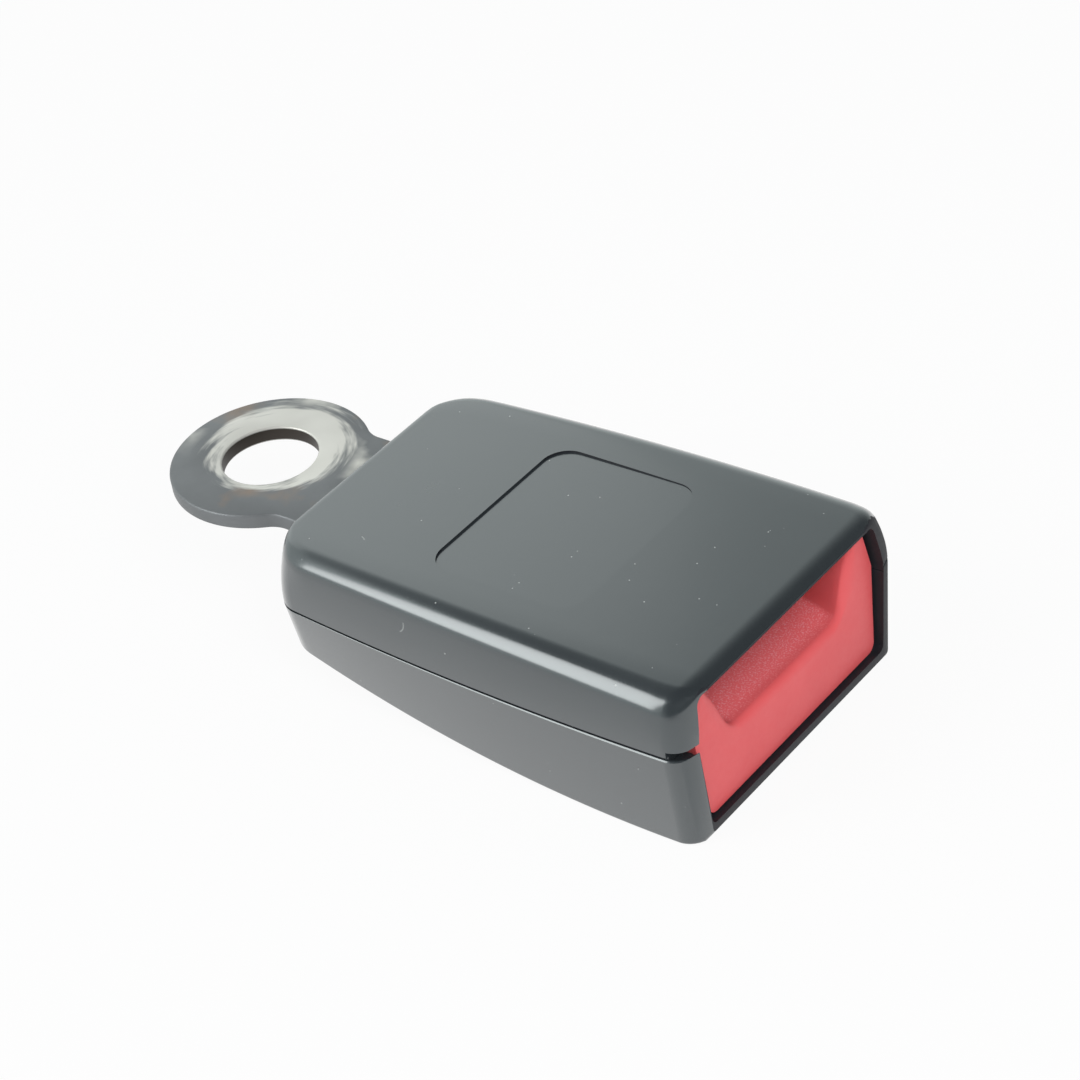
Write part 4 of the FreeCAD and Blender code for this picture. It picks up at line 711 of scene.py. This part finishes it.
button_places = [BUTTON_REAR + (LIP_START - BUTTON_REAR) * k / 8 for k in range(9)]
button_places += [LIP_START + (BUTTON_FRONT - LIP_START) * math.sin(math.pi / 16 * k) for k in range(1, 9)]
button = outward(skin("press_button", [button_section(x) for x in button_places]))
arm_side = [(ARM_REAR, RAMP_TOP), (RAMP_START, RAMP_TOP), (RAMP_END, RAMP_LOW), (ARM_ROOT, RAMP_LOW),
            (ARM_ROOT, ARM_TOP), (STOP_PLACES[1], ARM_TOP), (STOP_PLACES[1], STOP_TOP),
            (STOP_PLACES[0], STOP_TOP), (STOP_PLACES[0], ARM_TOP), (ARM_REAR, ARM_TOP)]
arms = []
for side in (-1, 1):
    sides = [[(x, side * y, z) for x, z in arm_side] for y in (ARM_INNER, ARM_OUTER)]
    arms.append(outward(skin("arm", sides)))
carve(button, *arms, operation="UNION")
edge = button.modifiers.new("moulded edge", "BEVEL")
edge.width = BUTTON_EDGE
edge.segments = 3
edge.angle_limit = math.radians(40)
edge.use_clamp_overlap = True
settle(button)

# The spring guides' bores are cut once the edges are rounded, so that they stay round.
bores = []
for side in (-1, 1):
    round_bore = [(side * GUIDE_ROW + y, GUIDE_LEVEL + z) for y, z in arc((0, 0), GUIDE_BORE, 0, 345, 23)]
    bores.append(outward(skin("bore", [[(x, y, z) for y, z in round_bore] for x in GUIDE_REACH])))
carve(button, *bores)

# Acetal, moulded in red: satin with a fine grain and a soft change of tone where
# fingers have rubbed it. The scoop's floor is etched, with its grain drawn coarser
# than it is, and it is painted paler as painted light and flecked with painted glints.
button_plastic, tree, shader = new_material("red_acetal")
place = add_node(tree, "ShaderNodeTexCoord").outputs["Object"]
grain = add_node(tree, "ShaderNodeTexNoise",
                 {"Vector": place, "Scale": 1.6 / MM, "Detail": 4.0, "Roughness": 0.6}).outputs["Fac"]
rubbed = add_node(tree, "ShaderNodeTexNoise",
                  {"Vector": place, "Scale": 0.16 / MM, "Detail": 4.0}).outputs["Fac"]
tone = add_node(tree, "ShaderNodeMix", {0: rubbed, 6: srgb("#cf4f52"), 7: srgb("#da5e61")},
                data_type="RGBA").outputs[2]
axes = add_node(tree, "ShaderNodeSeparateXYZ", {0: place}).outputs
inside = add_node(tree, "ShaderNodeMapRange", {"Value": axes["X"], "From Min": ETCHED_AND_LIT_FADE[0],
                                               "From Max": ETCHED_AND_LIT_FADE[1]}).outputs[0]
level = add_node(tree, "ShaderNodeMapRange", {"Value": axes["Z"], "From Min": ETCHED_AND_LIT_LEVEL[0],
                                              "From Max": ETCHED_AND_LIT_LEVEL[1]}).outputs[0]
on_floor = add_node(tree, "ShaderNodeMath", {0: axes["Z"], 1: ETCHED_AND_LIT_LOW},
                    operation="GREATER_THAN").outputs[0]
etched_and_painted_light = add_node(tree, "ShaderNodeMath", {0: inside, 1: level}, operation="MULTIPLY").outputs[0]
etched_and_painted_light = add_node(tree, "ShaderNodeMath", {0: etched_and_painted_light, 1: on_floor}, operation="MULTIPLY").outputs[0]
# Painted glints: pale pink specks in the floor's colour stand in for sparkle of reflected light.
spark = add_node(tree, "ShaderNodeTexNoise",
                 {"Vector": place, "Scale": 5.2 / MM, "Detail": 1.0}).outputs["Fac"]
painted_glint = add_node(tree, "ShaderNodeMapRange", {"Value": spark, "From Min": 0.5, "From Max": 0.72}).outputs[0]
painted_glint = add_node(tree, "ShaderNodeMath", {0: painted_glint, 1: etched_and_painted_light}, operation="MULTIPLY").outputs[0]
# The etched floor is painted paler and pinker: painted light.
painted_light_share = add_node(tree, "ShaderNodeMath", {0: etched_and_painted_light, 1: 0.7}, operation="MULTIPLY").outputs[0]
tone = add_node(tree, "ShaderNodeMix", {0: painted_light_share, 6: tone, 7: srgb("#f66f74")}, data_type="RGBA").outputs[2]
tone = add_node(tree, "ShaderNodeMix", {0: painted_glint, 6: tone, 7: srgb("#f2989e")}, data_type="RGBA").outputs[2]
rough = add_node(tree, "ShaderNodeMapRange", {"Value": grain, "To Min": 0.38, "To Max": 0.6}).outputs[0]
height = add_node(tree, "ShaderNodeMath", {0: spark, 1: etched_and_painted_light, 2: grain},
                  operation="MULTIPLY_ADD").outputs[0]
relief = add_node(tree, "ShaderNodeBump", {"Strength": 0.35, "Distance": 0.02 * MM, "Height": height})
tree.links.new(tone, shader.inputs["Base Color"])
tree.links.new(rough, shader.inputs["Roughness"])
tree.links.new(relief.outputs["Normal"], shader.inputs["Normal"])
shader.inputs["IOR"].default_value = 1.48
shader.inputs["Subsurface Weight"].default_value = 0.08
shader.inputs["Subsurface Radius"].default_value = (1.2, 0.3, 0.2)
shader.inputs["Subsurface Scale"].default_value = 1.0 * MM
finish_piece(button, button_plastic, "button", "button_plastic", "button", smooth=30)

# Return springs: cold-drawn spring wire wound cold and left oiled. Two push the
# button back, one throws the tongue out and a conical one lifts the latch.

WIRE = 0.25 * MM
FINE_WIRE = 0.8 * WIRE
BUTTON_COIL = (1.25 * MM, 1.25 * MM)
EJECTOR_COIL = (0.95 * MM, 0.95 * MM)
LATCH_COIL = (3.15 * MM, 1.95 * MM)

# Drawn wire: bright grey steel with fine drawing marks under a film of oil.
spring_steel, tree, shader = new_material("drawn_spring_wire")
place = add_node(tree, "ShaderNodeTexCoord").outputs["Object"]
drawn = add_node(tree, "ShaderNodeTexNoise",
                 {"Vector": place, "Scale": 0.9 / MM, "Detail": 3.0}).outputs["Fac"]
tone = add_node(tree, "ShaderNodeMix", {0: drawn, 6: srgb("#8d8f90"), 7: srgb("#b4b5b4")},
                data_type="RGBA").outputs[2]
rough = add_node(tree, "ShaderNodeMapRange", {"Value": drawn, "To Min": 0.22, "To Max": 0.38}).outputs[0]
tree.links.new(tone, shader.inputs["Base Color"])
tree.links.new(rough, shader.inputs["Roughness"])
shader.inputs["Metallic"].default_value = 1.0

coil_tree = bpy.data.node_groups.new("wound_spring", "GeometryNodeTree")
coil_tree.interface.new_socket("Geometry", in_out="OUTPUT", socket_type="NodeSocketGeometry")
for label in ("Turns", "Wire Radius", "Start Radius", "End Radius", "Height"):
    coil_tree.interface.new_socket(label, in_out="INPUT", socket_type="NodeSocketFloat")
wound = add_node(coil_tree, "NodeGroupInput").outputs
helix = add_node(coil_tree, "GeometryNodeCurveSpiral",
                 {"Resolution": 36, "Rotations": wound["Turns"], "Start Radius": wound["Start Radius"],
                  "End Radius": wound["End Radius"], "Height": wound["Height"]}).outputs["Curve"]
section = add_node(coil_tree, "GeometryNodeCurvePrimitiveCircle",
                   {"Resolution": 12, "Radius": wound["Wire Radius"]}).outputs["Curve"]
wire = add_node(coil_tree, "GeometryNodeCurveToMesh",
                {"Curve": helix, "Profile Curve": section, "Fill Caps": True}).outputs["Mesh"]
solid = add_node(coil_tree, "GeometryNodeRealizeInstances", {"Geometry": wire}).outputs["Geometry"]
dressed = add_node(coil_tree, "GeometryNodeSetMaterial",
                   {"Geometry": solid, "Material": spring_steel}).outputs["Geometry"]
add_node(coil_tree, "NodeGroupOutput", {"Geometry": dressed})


def wind(node, turns, wire_radius, radii, turned):
    """Winds a spring in its node's box, standing on the end that stays put."""
    low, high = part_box(node)
    run = high - low
    height = (run.x if turned else run.z) - 2 * wire_radius
    piece = bpy.data.objects.new(node + "_wire", bpy.data.meshes.new(node + "_wire"))
    scene.collection.objects.link(piece)
    change = piece.modifiers.new("wound", "NODES")
    change.node_group = coil_tree
    given = dict(zip(("Turns", "Wire Radius", "Start Radius", "End Radius", "Height"),
                     (turns, wire_radius, *radii, height)))
    for item in coil_tree.interface.items_tree:
        if item.in_out == "INPUT":
            change[item.identifier] = given[item.name]
    settle(piece)
    middle = (low + high) / 2
    foot = Vector((low.x, middle.y, middle.z)) if turned else Vector((middle.x, middle.y, low.z))
    turn = Matrix.Rotation(math.radians(90), 4, "Y") if turned else Matrix.Identity(4)
    piece.data.transform(Matrix.Translation(foot) @ turn @ Matrix.Translation((0, 0, wire_radius)))
    piece.data.materials.clear()
    piece.data.materials.append(spring_steel)
    for face in piece.data.polygons:
        face.use_smooth = True
    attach(piece, "housing")
    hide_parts(node)
    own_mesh(piece)
    return piece


for node in ("button_spring_near", "button_spring_far"):
    wind(node, 7.0, WIRE, BUTTON_COIL, True)
wind("ejector_spring", 8.0, FINE_WIRE, EJECTOR_COIL, True)
wind("latch_spring", 3.0, WIRE, LATCH_COIL, False)

# Frame and rivets: zinc-plated steel strip, stamped and bent to a channel, and
# headed rivets that close the anchor plate on its web.

# Zinc plate, passivated: silvery with a yellowish bloom over the strip's rolling lines.
frame_steel, tree, shader = new_material("zinc_plated_strip")
place = add_node(tree, "ShaderNodeTexCoord").outputs["Object"]
rolled = add_node(tree, "ShaderNodeMapping",
                  {"Vector": place, "Scale": (0.06 / MM, 1.4 / MM, 1.4 / MM)}).outputs["Vector"]
lines = add_node(tree, "ShaderNodeTexNoise", {"Vector": rolled, "Scale": 1.0, "Detail": 3.0}).outputs["Fac"]
bloom = add_node(tree, "ShaderNodeTexNoise",
                 {"Vector": place, "Scale": 0.2 / MM, "Detail": 4.0}).outputs["Fac"]
tone = add_node(tree, "ShaderNodeMix", {0: bloom, 6: srgb("#a9a893"), 7: srgb("#c3c4bd")},
                data_type="RGBA").outputs[2]
rough = add_node(tree, "ShaderNodeMapRange", {"Value": lines, "To Min": 0.26, "To Max": 0.46}).outputs[0]
tree.links.new(tone, shader.inputs["Base Color"])
tree.links.new(rough, shader.inputs["Roughness"])
shader.inputs["Metallic"].default_value = 0.9


def dress(material, *names):
    """Gives carried-over nodes their finish."""
    for name in names:
        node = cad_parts[name]
        node.data.materials.clear()
        node.data.materials.append(material)


dress(frame_steel, "frame", "anchor_rivet_near", "anchor_rivet_far")

# Latch, its pin and clips: hardened steel, blued and oiled, with a turned pin that
# the clips hold in the frame's flanges.

# Blued steel: dark with a blue cast and the uneven sheen of oil.
latch_steel, tree, shader = new_material("blued_hardened_steel")
place = add_node(tree, "ShaderNodeTexCoord").outputs["Object"]
oiled = add_node(tree, "ShaderNodeTexNoise",
                 {"Vector": place, "Scale": 0.24 / MM, "Detail": 5.0}).outputs["Fac"]
tone = add_node(tree, "ShaderNodeMix", {0: oiled, 6: srgb("#3c3f45"), 7: srgb("#5a5d63")},
                data_type="RGBA").outputs[2]
rough = add_node(tree, "ShaderNodeMapRange", {"Value": oiled, "To Min": 0.25, "To Max": 0.42}).outputs[0]
tree.links.new(tone, shader.inputs["Base Color"])
tree.links.new(rough, shader.inputs["Roughness"])
shader.inputs["Metallic"].default_value = 1.0
dress(latch_steel, "latch")

# Turned steel: bright, with fine rings from the lathe along the pin.
pin_steel, tree, shader = new_material("turned_pin_steel")
place = add_node(tree, "ShaderNodeTexCoord").outputs["Object"]
turned = add_node(tree, "ShaderNodeTexWave", {"Vector": place, "Scale": 0.9 / MM, "Distortion": 0.4},
                  bands_direction="Y").outputs["Fac"]
tone = add_node(tree, "ShaderNodeMix", {0: turned, 6: srgb("#b3b4b3"), 7: srgb("#c9cac8")},
                data_type="RGBA").outputs[2]
rough = add_node(tree, "ShaderNodeMapRange", {"Value": turned, "To Min": 0.2, "To Max": 0.34}).outputs[0]
tree.links.new(tone, shader.inputs["Base Color"])
tree.links.new(rough, shader.inputs["Roughness"])
shader.inputs["Metallic"].default_value = 1.0
dress(pin_steel, "latch_pin", "latch_pin_clip_near", "latch_pin_clip_far", "spring_guide_near",
      "spring_guide_far")

# Ejector, its seat and the tongue guide: natural acetal where it slides, and the
# covers' ABS where the tongue is led in. A felt pad stops the plate's rattle.

# Natural acetal: milky white and waxy, with a faint cloudiness.
slider_plastic, tree, shader = new_material("natural_acetal")
place = add_node(tree, "ShaderNodeTexCoord").outputs["Object"]
milky = add_node(tree, "ShaderNodeTexNoise",
                 {"Vector": place, "Scale": 0.3 / MM, "Detail": 4.0}).outputs["Fac"]
tone = add_node(tree, "ShaderNodeMix", {0: milky, 6: srgb("#dcdad0"), 7: srgb("#e9e7de")},
                data_type="RGBA").outputs[2]
rough = add_node(tree, "ShaderNodeMapRange", {"Value": milky, "To Min": 0.35, "To Max": 0.5}).outputs[0]
tree.links.new(tone, shader.inputs["Base Color"])
tree.links.new(rough, shader.inputs["Roughness"])
shader.inputs["IOR"].default_value = 1.48
dress(slider_plastic, "ejector", "ejector_spring_seat")
dress(cover_plastic, "tongue_guide")

# Pressed wool felt: dark, dull and matted.
felt, tree, shader = new_material("pressed_felt")
place = add_node(tree, "ShaderNodeTexCoord").outputs["Object"]
fibres = add_node(tree, "ShaderNodeTexNoise",
                  {"Vector": place, "Scale": 1.8 / MM, "Detail": 6.0, "Roughness": 0.7}).outputs["Fac"]
tone = add_node(tree, "ShaderNodeMix", {0: fibres, 6: srgb("#232425"), 7: srgb("#4b4c4d")},
                data_type="RGBA").outputs[2]
relief = add_node(tree, "ShaderNodeBump", {"Strength": 0.8, "Distance": 0.1 * MM, "Height": fibres})
tree.links.new(tone, shader.inputs["Base Color"])
tree.links.new(relief.outputs["Normal"], shader.inputs["Normal"])
shader.inputs["Roughness"].default_value = 0.95
dress(felt, "anti_rattle_pad")

# Stage: a pale table under a white surround, which in mirrored rays falls off to
# grey ahead of the mouth and overhead, as the dark end of a studio does. A window
# lamp stands to the near rear, a weak softbox to the far rear, a fill on the mouth.

TABLE_SIZE = 4.0
TABLE_WHITE = 0.93
WALL_HEADING = (0.86, 0.0, 0.51)
WALL_TURN = (-0.26, 0.3)
WALL_GREY = 0.12
CEILING_TURN = (0.69, 0.78)
CEILING_GREY = 0.35
AMBIENT = 0.45
LAMP_DISTANCE = 1.0
HOUSING_MIDDLE = (0.045, 0.0, 0.0)
SCOOP_MIDDLE = (0.06, 0.0, 0.0)

floor_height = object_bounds()[0][2]
bpy.ops.mesh.primitive_plane_add(size=TABLE_SIZE, location=(0.0, 0.0, floor_height))
floor = bpy.context.object
floor.name = "table"

# Matt painted board: pale grey for the light that it throws back, and near white to
# the camera and in what the pieces mirror. It keeps a soft shadow.
pale, tree, shader = new_material("pale_table")
shader.inputs["Base Color"].default_value = srgb("#cfcfcf")
shader.inputs["Roughness"].default_value = 0.8
rays = add_node(tree, "ShaderNodeLightPath").outputs
seen = add_node(tree, "ShaderNodeMath", {0: rays["Is Camera Ray"], 1: rays["Is Glossy Ray"]},
                operation="MAXIMUM").outputs[0]
seen = add_node(tree, "ShaderNodeMath", {0: seen, 1: rays["Is Transmission Ray"]},
                operation="MAXIMUM").outputs[0]
lifted = add_node(tree, "ShaderNodeMath", {0: seen, 1: TABLE_WHITE}, operation="MULTIPLY").outputs[0]
white = add_node(tree, "ShaderNodeEmission", {"Color": (1, 1, 1, 1), "Strength": 1.0}).outputs[0]
mixed_floor = add_node(tree, "ShaderNodeMixShader", {0: lifted, 1: shader.outputs[0], 2: white}).outputs[0]
tree.links.new(mixed_floor, tree.nodes["Material Output"].inputs["Surface"])
floor.data.materials.append(pale)

# The surround is plain white to the camera, soft and even as light, and graded only
# in the rays that glossy pieces mirror.
world = bpy.data.worlds.new("surround")
scene.world = world
world.use_nodes = True
tree = world.node_tree
tree.nodes.clear()
heading = add_node(tree, "ShaderNodeTexCoord").outputs["Generated"]
ahead = add_node(tree, "ShaderNodeVectorMath", {0: heading, 1: WALL_HEADING},
                 operation="DOT_PRODUCT").outputs["Value"]
walls = add_node(tree, "ShaderNodeMapRange", {"Value": ahead, "From Min": WALL_TURN[0],
                                              "From Max": WALL_TURN[1], "To Min": 1.0,
                                              "To Max": WALL_GREY}).outputs[0]
upwards = add_node(tree, "ShaderNodeSeparateXYZ", {0: heading}).outputs["Z"]
ceiling = add_node(tree, "ShaderNodeMapRange", {"Value": upwards, "From Min": CEILING_TURN[0],
                                                "From Max": CEILING_TURN[1], "To Min": 1.0,
                                                "To Max": CEILING_GREY}).outputs[0]
walls = add_node(tree, "ShaderNodeMath", {0: walls, 1: ceiling}, operation="MULTIPLY").outputs[0]
rays = add_node(tree, "ShaderNodeLightPath").outputs
mirrored_rays = add_node(tree, "ShaderNodeMath",
                         {0: rays["Is Glossy Ray"], 1: rays["Is Transmission Ray"]},
                         operation="MAXIMUM").outputs[0]
soft = add_node(tree, "ShaderNodeBackground", {"Color": srgb("#eef2f5"), "Strength": AMBIENT}).outputs[0]
walled = add_node(tree, "ShaderNodeBackground", {"Color": srgb("#eff8f7"), "Strength": walls}).outputs[0]
plain = add_node(tree, "ShaderNodeBackground", {"Color": (1, 1, 1, 1), "Strength": 1.0}).outputs[0]
both = add_node(tree, "ShaderNodeMixShader", {0: mirrored_rays, 1: soft, 2: walled}).outputs[0]
both = add_node(tree, "ShaderNodeMixShader", {0: rays["Is Camera Ray"], 1: both, 2: plain}).outputs[0]
add_node(tree, "ShaderNodeOutputWorld", {"Surface": both})


def lamp(name, place, aim, extent, power):
    """A soft rectangular lamp that faces a point."""
    data = bpy.data.lights.new(name, "AREA")
    data.shape = "RECTANGLE"
    data.size, data.size_y = extent
    data.energy = power
    item = bpy.data.objects.new(name, data)
    item.location = place
    item.rotation_euler = (Vector(aim) - Vector(place)).to_track_quat("-Z", "Y").to_euler()
    scene.collection.objects.link(item)
    return item


def towards(azimuth, elevation):
    """A lamp's place at a bearing from the housing's middle."""
    turn, rise = math.radians(azimuth), math.radians(elevation)
    level = LAMP_DISTANCE * math.cos(rise)
    height = LAMP_DISTANCE * math.sin(rise)
    return (HOUSING_MIDDLE[0] + level * math.cos(turn), level * math.sin(turn), height)


lamp("softbox", towards(152, 27), HOUSING_MIDDLE, extent=(0.7, 0.6), power=0.5)
lamp("window", towards(234, 33), HOUSING_MIDDLE, extent=(0.5, 0.75), power=5.6)
fill = lamp("fill", towards(-30, 41), SCOOP_MIDDLE, extent=(0.6, 0.6), power=8.6)
# The fill leaves no square of light on the glossy skin.
fill.visible_glossy = False

# Camera: fitted to the photograph's view, with its axes as the picture's right, up
# and towards the viewer.
CAMERA_PLACE = (0.26085, -0.23681, 0.23274)
RIGHT = Vector((0.7904, 0.5967, -0.1380))
UP = Vector((-0.2647, 0.5360, 0.8012))
BACK = Vector((0.5520, -0.5970, 0.5821))
camera_data = bpy.data.cameras.new("camera")
camera_data.sensor_fit = "HORIZONTAL"
camera_data.sensor_width = 36.0
camera_data.lens = 114.717
camera_data.clip_start = 0.01
camera = bpy.data.objects.new("camera", camera_data)
camera.matrix_world = Matrix.Translation(CAMERA_PLACE) @ Matrix((RIGHT, UP, BACK)).transposed().to_4x4()
scene.collection.objects.link(camera)
scene.camera = camera
scene.view_settings.view_transform = "Standard"
